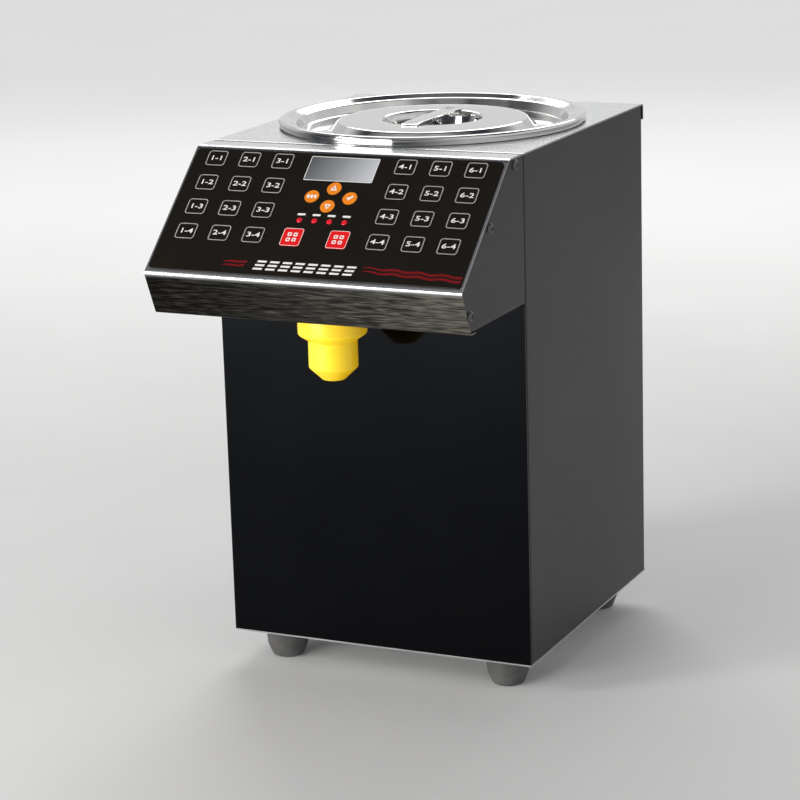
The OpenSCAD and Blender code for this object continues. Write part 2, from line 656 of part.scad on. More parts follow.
// Involute flank points from the base circle to the tip, as [radius, angle]
flank = [for (i = [0:5]) let (t = tip_roll * i / 5)
    [gear_base_r * sqrt(1 + pow(t * PI / 180, 2)), inv(t)]];

module gear_outline() polygon([for (i = [0:teeth - 1]) let (a = 360 * i / teeth) each concat(
    [polar(root_r, a - tooth_half)], [for (f = flank) polar(f[0], a - tooth_half + f[1])],
    [for (k = [5:-1:0]) polar(flank[k][0], a + tooth_half - flank[k][1])],
    [polar(root_r, a + tooth_half), polar(root_r, a + 180 / teeth)])]);

// Gear with its axis along X, a tooth (or a gap) pointing up
module pump_gear(z, first) translate([0, pump_y, z]) rotate([90, 0, 90]) translate([0, 0, -gear_w / 2])
    linear_extrude(gear_w) rotate(first) gear_outline();

module shaft(z, x0, x1) translate([x0, pump_y, z]) rotate([0, 90, 0]) cylinder(d = shaft_d, h = x1 - x0);

module drive_gear() color("darkkhaki") {
    pump_gear(drive_z, 90);
    shaft(drive_z, -gear_w / 2 - 3, pump_face_x + bracket_t + shaft_reach);
}

module idler_gear() color("darkkhaki") {
    pump_gear(idler_z, -90 + 180 / teeth);
    shaft(idler_z, -gear_w / 2 - 3, pump_face_x + bracket_t - 1);
}

module bore_x(z, x0, x1) translate([x0, pump_y, z]) rotate([0, 90, 0])
    cylinder(d = shaft_d + 2 * shaft_fit, h = x1 - x0);

module pump_housing() color("slategray") difference() {
    union() {
        translate([-pump_half_x, pump_y, port_z]) rotate([90, 0, 90])
            linear_extrude(pump_half_x + pump_face_x) polygon(plate(2 * pump_half_y, 2 * pump_half_z, 12));
        translate([0, pump_y - pump_half_y - grip_len + 1, port_z]) rotate([-90, 0, 0])
            cylinder(r = barb_r, h = 2 * (pump_half_y + grip_len - 1));
    }
    for (z = [drive_z, idler_z]) {
        translate([-gear_w / 2 - gap, pump_y, z]) rotate([0, 90, 0])
            cylinder(r = tip_r + cavity_gap, h = gear_w + 4 * gap + 1);
        bore_x(z, -gear_w / 2 - 3.5, 0);
    }
    translate([0, pump_y - pump_half_y - grip_len, port_z]) rotate([-90, 0, 0])
        cylinder(r = 2.5, h = 2 * (pump_half_y + grip_len));
}

module pump_bracket() color("silver") difference() {
    union() {
        translate([pump_face_x + gap, pump_y - pump_half_y - 4, floor_z + gap])
            cube([bracket_t, 2 * pump_half_y + 8, port_h + pump_half_z]);
        translate([pump_face_x + gap, pump_y - pump_half_y - 4, floor_z + gap])
            cube([bracket_foot, 2 * pump_half_y + 8, bracket_t]);
    }
    for (z = [drive_z, idler_z]) bore_x(z, 0, pump_face_x + bracket_t + 2);
}

module pump_motor() color("dimgray") difference() {
    translate([pump_face_x + bracket_t + 2 * gap, pump_y, drive_z]) rotate([0, 90, 0]) rotate_extrude()
        polygon([[0, 0], [motor_d / 2 - 6, 0], [motor_d / 2 - 6, 20], [motor_d / 2 - 1, 20],
                 [motor_d / 2, 22], [motor_d / 2, motor_len - 8], [motor_d / 2 - 4, motor_len - 4],
                 [12, motor_len - 4], [12, motor_len], [0, motor_len]]);
    bore_x(drive_z, 0, pump_face_x + bracket_t + shaft_reach + 1);
}

// ---- power ----

module power_supply() color("silver") translate([-hw + 20, rear_y - 42 - psu_len, floor_z + gap]) difference() {
    union() {
        cube([psu_w, psu_len, psu_h]);
        for (i = [0:5]) translate([8 + i * (psu_w - 16) / 6, -10, 0]) cube([(psu_w - 16) / 6 - 1.5, 11, 12]);
    }
    for (i = [0:7]) translate([10, 14 + i * (psu_len - 30) / 7, psu_h - 1.5]) cube([psu_w - 20, 4, 3]);
}

module power_inlet() color("#202020") difference() {
    union() {
        translate([inlet_x - inlet_w / 2 + 0.2, rear_out - inlet_deep, inlet_z - inlet_tall / 2 + 0.2])
            cube([inlet_w - 0.4, inlet_deep + 1, inlet_tall - 0.4]);
        translate([inlet_x, rear_out + gap, inlet_z]) rotate([-90, 0, 0])
            linear_extrude(2.5) polygon(plate(inlet_w + 5, inlet_tall + 6, 3));
    }
    // socket recess with cut lower corners, as the plug has
    difference() {
        translate([inlet_x, rear_out + 3, socket_z]) rotate([90, 0, 0]) linear_extrude(20)
            polygon([[-12, -8], [12, -8], [12, 4], [8, 8], [-8, 8], [-12, 4]]);
        for (p = [[-7, -2], [7, -2], [0, 3]]) translate([inlet_x + p.x - 1, rear_out - 18, socket_z + p.y - 2])
            cube([2, 13, 4]);
    }
    translate([inlet_x - 7, rear_out - 14, rocker_z - rocker_r - 0.4]) cube([14, 18, 2 * rocker_r + 0.8]);
    translate([inlet_x, rocker_y, rocker_z]) rotate([0, 90, 0]) cylinder(d = 3.1, h = 19, center = true);
}

// Rocker about its pin: two flats that meet in a shallow valley, ends rounded about the pin
module switch_rocker() color("#c8102e") translate([inlet_x, rocker_y, rocker_z]) rotate([rocker_tilt, 0, 0]) {
    across(13.4) polygon(concat([for (a = [-100, -80]) polar(rocker_r * 0.7, a)], [[3, -rocker_r * 0.8]],
        [for (a = [-60:10:-40]) polar(rocker_r, a)], [[4.4, 0]],
        [for (a = [40:10:60]) polar(rocker_r, a)], [[3, rocker_r * 0.8]],
        [for (a = [80, 100]) polar(rocker_r * 0.7, a)]));
    rotate([0, 90, 0]) cylinder(d = 3, h = 18, center = true);
}

base_pan();
left_side_panel();
right_side_panel();
front_panel();
rear_panel();
top_cover();
head_housing();
control_fascia();
keypad_overlay();
display_window();
control_board();
indicator_lamps();
feet();
screws();
tank();
tank_gasket();
lid();
lid_handle();
heater_band();
pump_housing();
drive_gear();
idler_gear();
pump_motor();
pump_bracket();
hoses();
spout();
nozzle_cap();
power_supply();
power_inlet();
switch_rocker();
for (i = [0:len(portion_names) - 1])
    portion_key(portion_keys[i]);
for (i = [0:len(round_names) - 1])
    round_key(round_keys[i]);
for (i = [0:len(start_names) - 1])
    start_key(start_keys[i]);
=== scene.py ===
import bpy
import bmesh
import math
from mathutils import Matrix, Vector


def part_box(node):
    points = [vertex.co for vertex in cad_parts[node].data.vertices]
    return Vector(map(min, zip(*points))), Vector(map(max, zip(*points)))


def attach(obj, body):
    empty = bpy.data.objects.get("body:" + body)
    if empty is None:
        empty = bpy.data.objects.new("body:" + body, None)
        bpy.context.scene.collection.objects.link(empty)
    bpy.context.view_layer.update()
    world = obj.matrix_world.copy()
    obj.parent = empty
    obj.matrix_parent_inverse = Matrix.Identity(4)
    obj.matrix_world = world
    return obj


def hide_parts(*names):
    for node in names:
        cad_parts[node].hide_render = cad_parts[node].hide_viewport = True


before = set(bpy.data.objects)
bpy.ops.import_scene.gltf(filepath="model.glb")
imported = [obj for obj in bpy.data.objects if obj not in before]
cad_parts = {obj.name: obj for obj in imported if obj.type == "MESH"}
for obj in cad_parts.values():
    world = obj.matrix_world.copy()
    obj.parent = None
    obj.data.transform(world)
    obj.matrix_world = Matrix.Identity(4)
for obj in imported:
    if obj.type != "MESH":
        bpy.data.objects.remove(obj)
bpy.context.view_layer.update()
scene = bpy.context.scene
MM = 0.001

# ---------------------------------------------------------------- camera
# A long lens from the right front, a little above the top plate. Its place and turn
# come from a fit to the corners of the casing, and are in metres.
CAMERA_TURN = math.radians(25.249)
CAMERA_RISE = math.radians(14.390)
CAMERA_ROLL = math.radians(-1.706)
CAMERA_FAR = 2.23199
CAMERA_AIM = Vector((-0.02297, 0.027, 0.20369))
LENS_MM, SENSOR_MM = 123.0, 36.0

back = Vector((math.sin(CAMERA_TURN) * math.cos(CAMERA_RISE),
               -math.cos(CAMERA_TURN) * math.cos(CAMERA_RISE), math.sin(CAMERA_RISE)))
level = (-back).cross(Vector((0, 0, 1))).normalized()
upright = level.cross(-back)
right = math.cos(CAMERA_ROLL) * level + math.sin(CAMERA_ROLL) * upright
up = math.cos(CAMERA_ROLL) * upright - math.sin(CAMERA_ROLL) * level
camera = bpy.data.objects.new("camera", bpy.data.cameras.new("camera"))
camera.data.lens = LENS_MM
camera.data.sensor_width = SENSOR_MM
camera.data.clip_end = 60
camera.matrix_world = Matrix.Translation(CAMERA_AIM + back * CAMERA_FAR) @ Matrix(
    (right, up, back)).transposed().to_4x4()
scene.collection.objects.link(camera)
scene.camera = camera
scene.view_settings.view_transform = "Standard"


# ---------------------------------------------------------------- studio
# A pale matt table, three soft lamps, and a room that is pale behind and to the right,
# dark in front, and has a dark ceiling that is lighter towards the front.
def linear(hex_colour):
    """An sRGB hex colour as linear RGBA."""
    parts = [int(hex_colour[i:i + 2], 16) / 255 for i in (1, 3, 5)]
    return (*(c / 12.92 if c <= 0.04045 else ((c + 0.055) / 1.055) ** 2.4 for c in parts), 1.0)


def add(tree, kind, links=None, stops=(), **settings):
    """Adds a node. links gives inputs a value or an output, stops are a ramp's (place, hex colour)."""
    node = tree.nodes.new(kind)
    for name, value in settings.items():
        setattr(node, name, value)
    for key, value in (links or {}).items():
        if isinstance(value, bpy.types.NodeSocket):
            tree.links.new(value, node.inputs[key])
        else:
            node.inputs[key].default_value = value
    for k, (place, colour) in enumerate(stops):
        element = node.color_ramp.elements[k] if k < 2 else node.color_ramp.elements.new(place)
        element.position = place
        element.color = linear(colour)
    return node


def new_finish(name, **values):
    """A new material whose shader takes the values, with its tree and its object coordinates."""
    made = bpy.data.materials.new(name)
    made.use_nodes = True
    tree = made.node_tree
    for key, value in values.items():
        tree.nodes["Principled BSDF"].inputs[key.replace("_", " ")].default_value = value
    return made, tree, add(tree, "ShaderNodeTexCoord").outputs["Object"]


def feed(finish, **outputs):
    """Links the outputs of nodes to a finish's shader."""
    shader = finish.node_tree.nodes["Principled BSDF"]
    for key, output in outputs.items():
        finish.node_tree.links.new(output, shader.inputs[key.replace("_", " ")])


def marked(finish, pattern, tones=(), sheen=(), over=(0.0, 1.0), relief=()):
    """Lets a pattern tint a finish, change its roughness or raise its face.

    tones are a colour ramp's stops. sheen is the roughness at the two ends of the pattern's
    range over, and relief is the height of its marks in mm and their strength.
    """
    tree = finish.node_tree
    if tones:
        feed(finish, Base_Color=add(tree, "ShaderNodeValToRGB", {"Fac": pattern}, tones).outputs["Color"])
    if sheen:
        rough = add(tree, "ShaderNodeMapRange", {"Value": pattern, "From Min": over[0], "From Max": over[1],
                                                 "To Min": sheen[0], "To Max": sheen[1]})
        feed(finish, Roughness=rough.outputs["Result"])
    if relief:
        raised = add(tree, "ShaderNodeBump", {"Height": pattern, "Distance": relief[0] * MM,
                                              "Strength": relief[1]})
        feed(finish, Normal=raised.outputs["Normal"])


def spaced(apart):
    """Scale of a pattern whose marks lie this many millimetres apart.

    Real marks that are finer than a pixel wouldn't show, so they are drawn coarser.
    """
    return 1 / (apart * MM)


def new_piece(name, points, faces, *finishes):
    """A mesh object that sits at the origin, with its place in its points."""
    mesh = bpy.data.meshes.new(name)
    mesh.from_pydata([tuple(p) for p in points], [], faces)
    for finish in finishes:
        mesh.materials.append(finish)
    piece = bpy.data.objects.new(name, mesh)
    scene.collection.objects.link(piece)
    return piece


def soft_lamp(name, place, aim, size, watts):
    """A flat area lamp at a place, turned to its aim."""
    lamp = bpy.data.objects.new(name, bpy.data.lights.new(name, "AREA"))
    lamp.data.shape = "RECTANGLE"
    lamp.data.size, lamp.data.size_y = size
    lamp.data.energy = watts
    lamp.location = place
    lamp.rotation_euler = (Vector(aim) - Vector(place)).to_track_quat("-Z", "Y").to_euler()
    scene.collection.objects.link(lamp)


TABLE_HALF = 9.0                   # metres
PALE_FROM, PALE_TO = 0.5, 3.0      # metres: out here the camera sees the table fade into the room
table_finish, tree, spot = new_finish("pale_matt_table", Roughness=0.75)
cloud = add(tree, "ShaderNodeTexNoise", {"Vector": spot, "Scale": spaced(333), "Detail": 4.0}).outputs["Fac"]
marked(table_finish, cloud, [(0.3, "#e6e5e3"), (0.7, "#ebeae8")])
reach = add(tree, "ShaderNodeVectorMath", {0: spot}, operation="LENGTH").outputs["Value"]
beyond = add(tree, "ShaderNodeMapRange", {"Value": reach, "From Min": PALE_FROM, "From Max": PALE_TO,
                                          "To Max": 0.42}, interpolation_type="SMOOTHSTEP").outputs["Result"]
seen = add(tree, "ShaderNodeLightPath").outputs["Is Camera Ray"]
glow = add(tree, "ShaderNodeMath", {0: beyond, 1: seen}, operation="MULTIPLY").outputs["Value"]
feed(table_finish, Emission_Strength=glow)
corners = [(sx * TABLE_HALF, sy * TABLE_HALF, 0) for sx, sy in ((-1, -1), (1, -1), (1, 1), (-1, 1))]
table = new_piece("table", corners, [(0, 1, 2, 3)], table_finish)

soft_lamp("lamp_behind", (-0.6, 1.9, 1.9), (0, 0.05, 0.3), (1.8, 1.2), 26)
soft_lamp("lamp_front", (-1.0, -2.2, 0.45), (0, -0.13, 0.3), (1.6, 0.8), 50)
soft_lamp("lamp_left", (-1.7, -1.7, 1.3), (0, 0.05, 0.4), (0.6, 0.8), 18)

room = bpy.data.worlds.new("room")
scene.world = room
room.use_nodes = True
tree = room.node_tree
# The room is drawn by direction, whose x, y and z each run from -1 to 1
way = add(tree, "ShaderNodeTexCoord").outputs["Generated"]
axes = add(tree, "ShaderNodeSeparateXYZ", {"Vector": way})
behind = add(tree, "ShaderNodeMapRange", {"Value": axes.outputs["Y"], "From Min": -0.35, "From Max": 0.55},
             interpolation_type="SMOOTHSTEP").outputs["Result"]
to_right = add(tree, "ShaderNodeMapRange", {"Value": axes.outputs["X"], "From Min": 0.1, "From Max": 0.8},
               interpolation_type="SMOOTHSTEP").outputs["Result"]
below = add(tree, "ShaderNodeMapRange", {"Value": axes.outputs["Z"], "From Min": 0.5, "From Max": 0.8,
                                         "To Min": 1.0, "To Max": 0.1},
            interpolation_type="SMOOTHSTEP").outputs["Result"]
walls = add(tree, "ShaderNodeMath", {0: behind, 1: to_right}, operation="MAXIMUM").outputs["Value"]
walls = add(tree, "ShaderNodeMath", {0: walls, 1: below}, operation="MULTIPLY").outputs["Value"]
ceiling = add(tree, "ShaderNodeMath", {0: 1.0, 1: below}, operation="SUBTRACT").outputs["Value"]
in_front = add(tree, "ShaderNodeMapRange", {"Value": axes.outputs["Y"], "From Min": 0.08, "From Max": -0.15,
                                            "To Max": 0.6}, interpolation_type="SMOOTHSTEP").outputs["Result"]
walls = add(tree, "ShaderNodeMath", {0: ceiling, 1: in_front, 2: walls},
            operation="MULTIPLY_ADD").outputs["Value"]
uneven = add(tree, "ShaderNodeTexNoise", {"Vector": way, "Scale": 2.6, "Detail": 1.0}).outputs["Fac"]
uneven = add(tree, "ShaderNodeMapRange", {"Value": uneven, "From Min": 0.4, "From Max": 0.6, "To Min": -0.16,
                                          "To Max": 0.1}).outputs["Result"]
walls = add(tree, "ShaderNodeMath", {0: walls, 1: uneven}, operation="ADD").outputs["Value"]
room_shade = add(tree, "ShaderNodeValToRGB", {"Fac": walls},
                 stops=[(0.0, "#393b42"), (1.0, "#e2e2e3"), (0.5, "#a9a9ab")]).outputs["Color"]
seen = add(tree, "ShaderNodeLightPath").outputs["Is Camera Ray"]
backdrop = add(tree, "ShaderNodeMix", {0: seen, 6: room_shade, 7: linear("#e3e3e1")},
               data_type="RGBA").outputs[2]
tree.links.new(backdrop, tree.nodes["Background"].inputs["Color"])


# ---------------------------------------------------------------- side panels, rear panel and head
# Stainless sheet, 1.2 mm, coloured dark and belt-brushed along the machine, folded on a
# press brake. The grain is too fine to see as lines: it shows as a soft satin.
def brushed(tree, spot, along, apart):
    """Grit lines, 0 to 1, as noise drawn out along one axis. They lie so many millimetres apart."""
    scale = [spaced(apart)] * 3
    scale[along] = spaced(apart * LINE_STRETCH)
    drawn = add(tree, "ShaderNodeMapping", {"Vector": spot, "Scale": scale}).outputs["Vector"]
    return add(tree, "ShaderNodeTexNoise", {"Vector": drawn, "Scale": 1.0, "Detail": 4.0,
                                            "Roughness": 0.6}).outputs["Fac"]


def dress(finish, *names):
    """Gives CAD nodes their finish."""
    for name in names:
        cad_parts[name].data.materials.clear()
        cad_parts[name].data.materials.append(finish)


GRIT = 0.7             # mm: the belt's lines lie about 0.05 mm apart, and are drawn coarser to show
LINE_STRETCH = 60      # length of a line over its width
dark_stainless, tree, spot = new_finish("dark_brushed_stainless", Metallic=1.0)
lines = brushed(tree, spot, 1, GRIT)
cloud = add(tree, "ShaderNodeTexNoise", {"Vector": spot, "Scale": spaced(167)}).outputs["Fac"]
blend = add(tree, "ShaderNodeMath", {0: lines, 1: 0.35, 2: cloud}, operation="MULTIPLY_ADD").outputs["Value"]
marked(dark_stainless, blend, [(0.45, "#3c3c3e"), (0.9, "#454547")])
marked(dark_stainless, lines, sheen=(0.34, 0.42), over=(0.3, 0.7), relief=(0.01, 0.25))
dress(dark_stainless, "left_side_panel", "right_side_panel", "rear_panel", "head_housing")

# ---------------------------------------------------------------- front panel
# The same sheet, mirror-polished before it was coloured black, so the nozzle shows in
# it. Wiped down daily, which leaves it a little uneven.
black_mirror, tree, spot = new_finish("black_mirror_stainless", Metallic=1.0)
wiped = add(tree, "ShaderNodeTexNoise", {"Vector": spot, "Scale": spaced(111), "Detail": 3.0}).outputs["Fac"]
marked(black_mirror, wiped, [(0.3, "#141517"), (0.7, "#17181a")], sheen=(0.06, 0.1), over=(0.3, 0.7))
dress(black_mirror, "front_panel")

# ---------------------------------------------------------------- top cover, base pan and pump bracket
# Bare stainless sheet, brushed across the machine. The cover is cut out for the tank
# and folded down at the back; the pan closes the casing from below.
bare_stainless, tree, spot = new_finish("bare_brushed_stainless", Metallic=1.0)
marked(bare_stainless, brushed(tree, spot, 0, GRIT), [(0.3, "#b2b3b4"), (0.7, "#cacbcb")],
       sheen=(0.2, 0.28), over=(0.3, 0.7), relief=(0.015, 0.3))
dress(bare_stainless, "top_cover", "base_pan", "pump_bracket")

# ---------------------------------------------------------------- control fascia
# One sheet folded at the brow, nose and chin. It is bare and brushed down to the nose.
# The lip below keeps the mill's brown colour, with wavy light streaks and a painted reflection that lightens
# it rightwards.
LIP_TOP, LIP_FADE = 344.9 * MM, 1.6 * MM
STREAK, STREAK_STRETCH = 1.4, 14      # mm, and the length of a streak over its width
fascia_steel, tree, spot = new_finish("half_brushed_fascia_stainless", Metallic=1.0)
axes = add(tree, "ShaderNodeSeparateXYZ", {"Vector": spot})
on_lip = add(tree, "ShaderNodeMapRange", {"Value": axes.outputs["Z"], "From Min": LIP_TOP - LIP_FADE,
                                          "From Max": LIP_TOP + LIP_FADE, "To Min": 1.0,
                                          "To Max": 0.0}).outputs["Result"]
lines = brushed(tree, spot, 0, GRIT)
across_lip = (spaced(STREAK * STREAK_STRETCH), 0.0, spaced(STREAK))
drawn = add(tree, "ShaderNodeMapping", {"Vector": spot, "Scale": across_lip}).outputs["Vector"]
streaks = add(tree, "ShaderNodeTexNoise", {"Vector": drawn, "Scale": 1.0, "Detail": 2.0,
                                           "Distortion": 0.5}).outputs["Fac"]
# Painted reflection: the lip's brown grows lighter towards the right, under its streaks.
lip_streaks_and_painted_reflection = add(tree, "ShaderNodeMath", {0: axes.outputs["X"], 1: 1.7, 2: streaks},
           operation="MULTIPLY_ADD").outputs["Value"]
bare = add(tree, "ShaderNodeValToRGB", {"Fac": lines},
           stops=[(0.3, "#a6a7a8"), (0.7, "#c4c5c5")]).outputs["Color"]
lip_brown_and_painted_reflection = add(tree, "ShaderNodeValToRGB", {"Fac": lip_streaks_and_painted_reflection},
            stops=[(0.28, "#100f0d"), (0.85, "#848177"), (0.55, "#403e39")]).outputs["Color"]
both = add(tree, "ShaderNodeMix", {0: on_lip, 6: bare, 7: lip_brown_and_painted_reflection}, data_type="RGBA").outputs[2]
feed(fascia_steel, Base_Color=both)
marked(fascia_steel, on_lip, sheen=(0.24, 0.4))
marked(fascia_steel, lines, relief=(0.015, 0.3))
dress(fascia_steel, "control_fascia")


# ---------------------------------------------------------------- feet
# Four moulded rubber feet, tapered to the floor, each held by a bolt from below. The
# rubber is matt and has a fine pebble from its mould.
def corner(a, b, c, r, steps=8):
    """Arc of radius r in the corner b of the path a-b-c."""
    if r <= 0:
        return [b]
    u, w = (a - b).normalized(), (c - b).normalized()
    half = math.acos(max(-1.0, min(1.0, u.dot(w)))) / 2
    centre = b + (u + w).normalized() * (r / math.sin(half))
    v0, v1 = (b + side * (r / math.tan(half)) - centre for side in (u, w))
    start = math.atan2(v0.y, v0.x)
    sweep = (math.atan2(v1.y, v1.x) - start + math.pi) % math.tau - math.pi
    angles = [start + sweep * i / steps for i in range(steps + 1)]
    return [centre + Vector((math.cos(angle), math.sin(angle))) * r for angle in angles]


def rounded(points, radii, steps=8):
    """A closed outline whose corners take these radii."""
    p = [Vector(q) for q in points]
    out = []
    for i, r in enumerate(radii):
        out += corner(p[i - 1], p[i], p[(i + 1) % len(p)], r, steps)
    return out


def turned(name, half_section, centre, steps, finish):
    """A closed half section of (radius, height) in mm, turned in steps about an upright axis."""
    build = bmesh.new()
    rings = []
    for r, z in half_section:
        if r < 1e-5:
            rings.append([build.verts.new((centre[0], centre[1], z * MM))] * steps)
        else:
            rings.append([build.verts.new((centre[0] + r * MM * math.cos(math.tau * k / steps),
                                           centre[1] + r * MM * math.sin(math.tau * k / steps), z * MM))
                          for k in range(steps)])
    for i, ring in enumerate(rings):
        near = rings[(i + 1) % len(rings)]
        for k in range(steps):
            j = (k + 1) % steps
            corners = list(dict.fromkeys((ring[k], ring[j], near[j], near[k])))
            if len(corners) > 2:
                build.faces.new(corners)
    bmesh.ops.recalc_face_normals(build, faces=build.faces)
    piece = new_piece(name, [], [], finish)
    build.to_mesh(piece.data)
    build.free()
    piece.data.shade_smooth()
    piece.data.set_sharp_from_angle(angle=math.radians(32))
    return piece


def new_tree(name, **inputs):
    """A Geometry Nodes tree with named inputs. Returns it with its input and output nodes."""
    tree = bpy.data.node_groups.new(name, "GeometryNodeTree")
    tree.interface.new_socket("Geometry", in_out="INPUT", socket_type="NodeSocketGeometry")
    for label, kind in inputs.items():
        tree.interface.new_socket(label, in_out="INPUT", socket_type="NodeSocket" + kind)
    tree.interface.new_socket("Geometry", in_out="OUTPUT", socket_type="NodeSocketGeometry")
    return tree, add(tree, "NodeGroupInput"), add(tree, "NodeGroupOutput")


def repeated(piece, tree, **values):
    """Runs a tree on a piece and keeps the result as its plain mesh."""
    modifier = piece.modifiers.new("repeat", "NODES")
    modifier.node_group = tree
    for item in tree.interface.items_tree:
        if item.in_out == "INPUT" and item.name in values:
            modifier[item.identifier] = values[item.name]
    bpy.context.view_layer.update()
    mesh = bpy.data.meshes.new_from_object(piece.evaluated_get(bpy.context.evaluated_depsgraph_get()))
    piece.modifiers.clear()
    piece.data = mesh
    return piece


def finished(tree, given, result, copies):
    """Ends a tree: its instances become real and take the finish."""
    real = add(tree, "GeometryNodeRealizeInstances", {"Geometry": copies.outputs["Instances"]})
    painted = add(tree, "GeometryNodeSetMaterial", {"Geometry": real.outputs["Geometry"],
                                                    "Material": given.outputs["Finish"]})
    tree.links.new(painted.outputs["Geometry"], result.inputs["Geometry"])


four_corners, given, result = new_tree("four_corners", Across="Float", Deep="Float", Middle="Vector",
                                       Finish="Material")
spots = add(four_corners, "GeometryNodeMeshGrid",
            {"Size X": given.outputs["Across"], "Size Y": given.outputs["Deep"],
             "Vertices X": 2, "Vertices Y": 2})
placed = add(four_corners, "GeometryNodeSetPosition", {"Geometry": spots.outputs["Mesh"],
                                                       "Offset": given.outputs["Middle"]})
copies = add(four_corners, "GeometryNodeInstanceOnPoints", {"Points": placed.outputs["Geometry"],
                                                            "Instance": given.outputs["Geometry"]})
finished(four_corners, given, result, copies)

rubber, tree, spot = new_finish("moulded_grey_rubber", Roughness=0.7, Specular_IOR_Level=0.35)
pebble = add(tree, "ShaderNodeTexVoronoi", {"Vector": spot, "Scale": spaced(0.833)}).outputs["Distance"]
dust = add(tree, "ShaderNodeTexNoise", {"Vector": spot, "Scale": spaced(16.7), "Detail": 5.0})
marked(rubber, dust.outputs["Fac"], [(0.3, "#4c4b4a"), (0.75, "#626160")])
marked(rubber, pebble, relief=(0.05, 0.4))      # the pebble is drawn coarser than it is

FOOT_R, FOOT_H, FOOT_BASE_R, FOOT_BELLY = 18.0, 26.0, 12.5, (16.5, 9.88)
BORE_R, WELL_R, WELL_H = 3.2, 6.5, 9.0          # the bolt's hole, and the well for its head
feet_low, feet_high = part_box("feet")
foot_places = {"Across": feet_high.x - feet_low.x - 2 * FOOT_R * MM,
               "Deep": feet_high.y - feet_low.y - 2 * FOOT_R * MM,
               "Middle": ((feet_low.x + feet_high.x) / 2, (feet_low.y + feet_high.y) / 2, 0.0)}
feet = turned("feet_rubber", rounded(
    [(WELL_R, 0), (FOOT_BASE_R, 0), FOOT_BELLY, (FOOT_R, FOOT_H), (BORE_R, FOOT_H), (BORE_R, WELL_H),
     (WELL_R, WELL_H)], [0.6, 3, 6, 0.8, 0, 0, 0.4]), (0, 0), 64, rubber)
repeated(feet, four_corners, Finish=rubber, **foot_places)
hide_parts("feet")
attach(feet, "root")


# ---------------------------------------------------------------- screws
# Zinc-plated steel: three pan heads with a cross recess on each cheek, three more down
# each edge of the back, and a bolt with its nut in each foot.
def joined(target, *extras):
    """Adds loose meshes to a piece."""
    build = bmesh.new()
    build.from_mesh(target.data)
    for extra in extras:
        build.from_mesh(extra)
    build.to_mesh(target.data)
    build.free()


zinc, tree, spot = new_finish("zinc_plated_steel", Metallic=1.0)
flecks = add(tree, "ShaderNodeTexNoise", {"Vector": spot, "Scale": spaced(2.38), "Detail": 3.0})
marked(zinc, flecks.outputs["Fac"], [(0.35, "#5a5a59"), (0.7, "#7a7978")], sheen=(0.25, 0.45))

HEAD_R, HEAD_H, DOME = 4.0, 2.4, 2.6        # DOME is how square the pan head's shoulder is
RECESS_R, RECESS_W, RECESS_D = 2.3, 0.55, 1.1
RINGS, SPOKES = 12, 40
points = [(0, 0, (HEAD_H - RECESS_D) * MM)]
for i in range(1, RINGS + 1):
    for k in range(SPOKES):
        r, a = HEAD_R * i / RINGS, math.tau * k / SPOKES
        x, y = r * math.cos(a), r * math.sin(a)
        z = HEAD_H * math.sqrt(max(0.0, 1 - (r / HEAD_R) ** DOME))
        if min(abs(x), abs(y)) < RECESS_W and r < RECESS_R:
            z -= RECESS_D
        points.append((x * MM, y * MM, z * MM))
rows = [[1 + i * SPOKES + k for k in range(SPOKES)] for i in range(RINGS)]
faces = [(0, rows[0][k], rows[0][(k + 1) % SPOKES]) for k in range(SPOKES)]
for low, high in zip(rows, rows[1:]):
    faces += [(low[k], high[k], high[(k + 1) % SPOKES], low[(k + 1) % SPOKES]) for k in range(SPOKES)]
faces.append(tuple(reversed(rows[-1])))
head = new_piece("screw_head", points, faces, zinc)
head.data.shade_smooth()
head.data.set_sharp_from_angle(angle=math.radians(40))

screwed, given, result = new_tree("screwed", Head="Object", Facing="Rotation", Seed="Int", Finish="Material")
shape = add(screwed, "GeometryNodeObjectInfo", {"Object": given.outputs["Head"]})
spin = add(screwed, "FunctionNodeRandomValue", {2: 0.0, 3: math.tau, "Seed": given.outputs["Seed"]},
           data_type="FLOAT")
about = add(screwed, "ShaderNodeCombineXYZ", {"Z": spin.outputs[1]})
turn = add(screwed, "FunctionNodeRotateRotation",
           {"Rotation": given.outputs["Facing"], "Rotate By": about.outputs["Vector"]},
           rotation_space="LOCAL")
copies = add(screwed, "GeometryNodeInstanceOnPoints", {"Points": given.outputs["Geometry"],
                                                       "Instance": shape.outputs["Geometry"],
                                                       "Rotation": turn.outputs["Rotation"]})
finished(screwed, given, result, copies)

cheek_low, cheek_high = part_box("head_housing")
SIDE_SCREWS = [(-86.5, 423.0), (-135.6, 384.5), (-175.4, 327.5)]      # (y, z) on each cheek
REAR_Y, REAR_X, REAR_Z = 187.3, 122.0, (57.2, 221.2, 385.2)
QUARTER = math.pi / 2
right_places = [(cheek_high.x, y * MM, z * MM) for y, z in SIDE_SCREWS]
left_places = [(cheek_low.x, y * MM, z * MM) for y, z in SIDE_SCREWS]
rear_places = [(side * REAR_X * MM, REAR_Y * MM, z * MM) for side in (-1, 1) for z in REAR_Z]
screws = new_piece("screws_zinc", right_places, [], zinc)
repeated(screws, screwed, Head=head, Facing=(0.0, QUARTER, 0.0), Seed=3, Finish=zinc)
left = new_piece("screws_left", left_places, [], zinc)
repeated(left, screwed, Head=head, Facing=(0.0, -QUARTER, 0.0), Seed=8, Finish=zinc)
rear = new_piece("screws_rear", rear_places, [], zinc)
repeated(rear, screwed, Head=head, Facing=(-QUARTER, 0.0, 0.0), Seed=5, Finish=zinc)

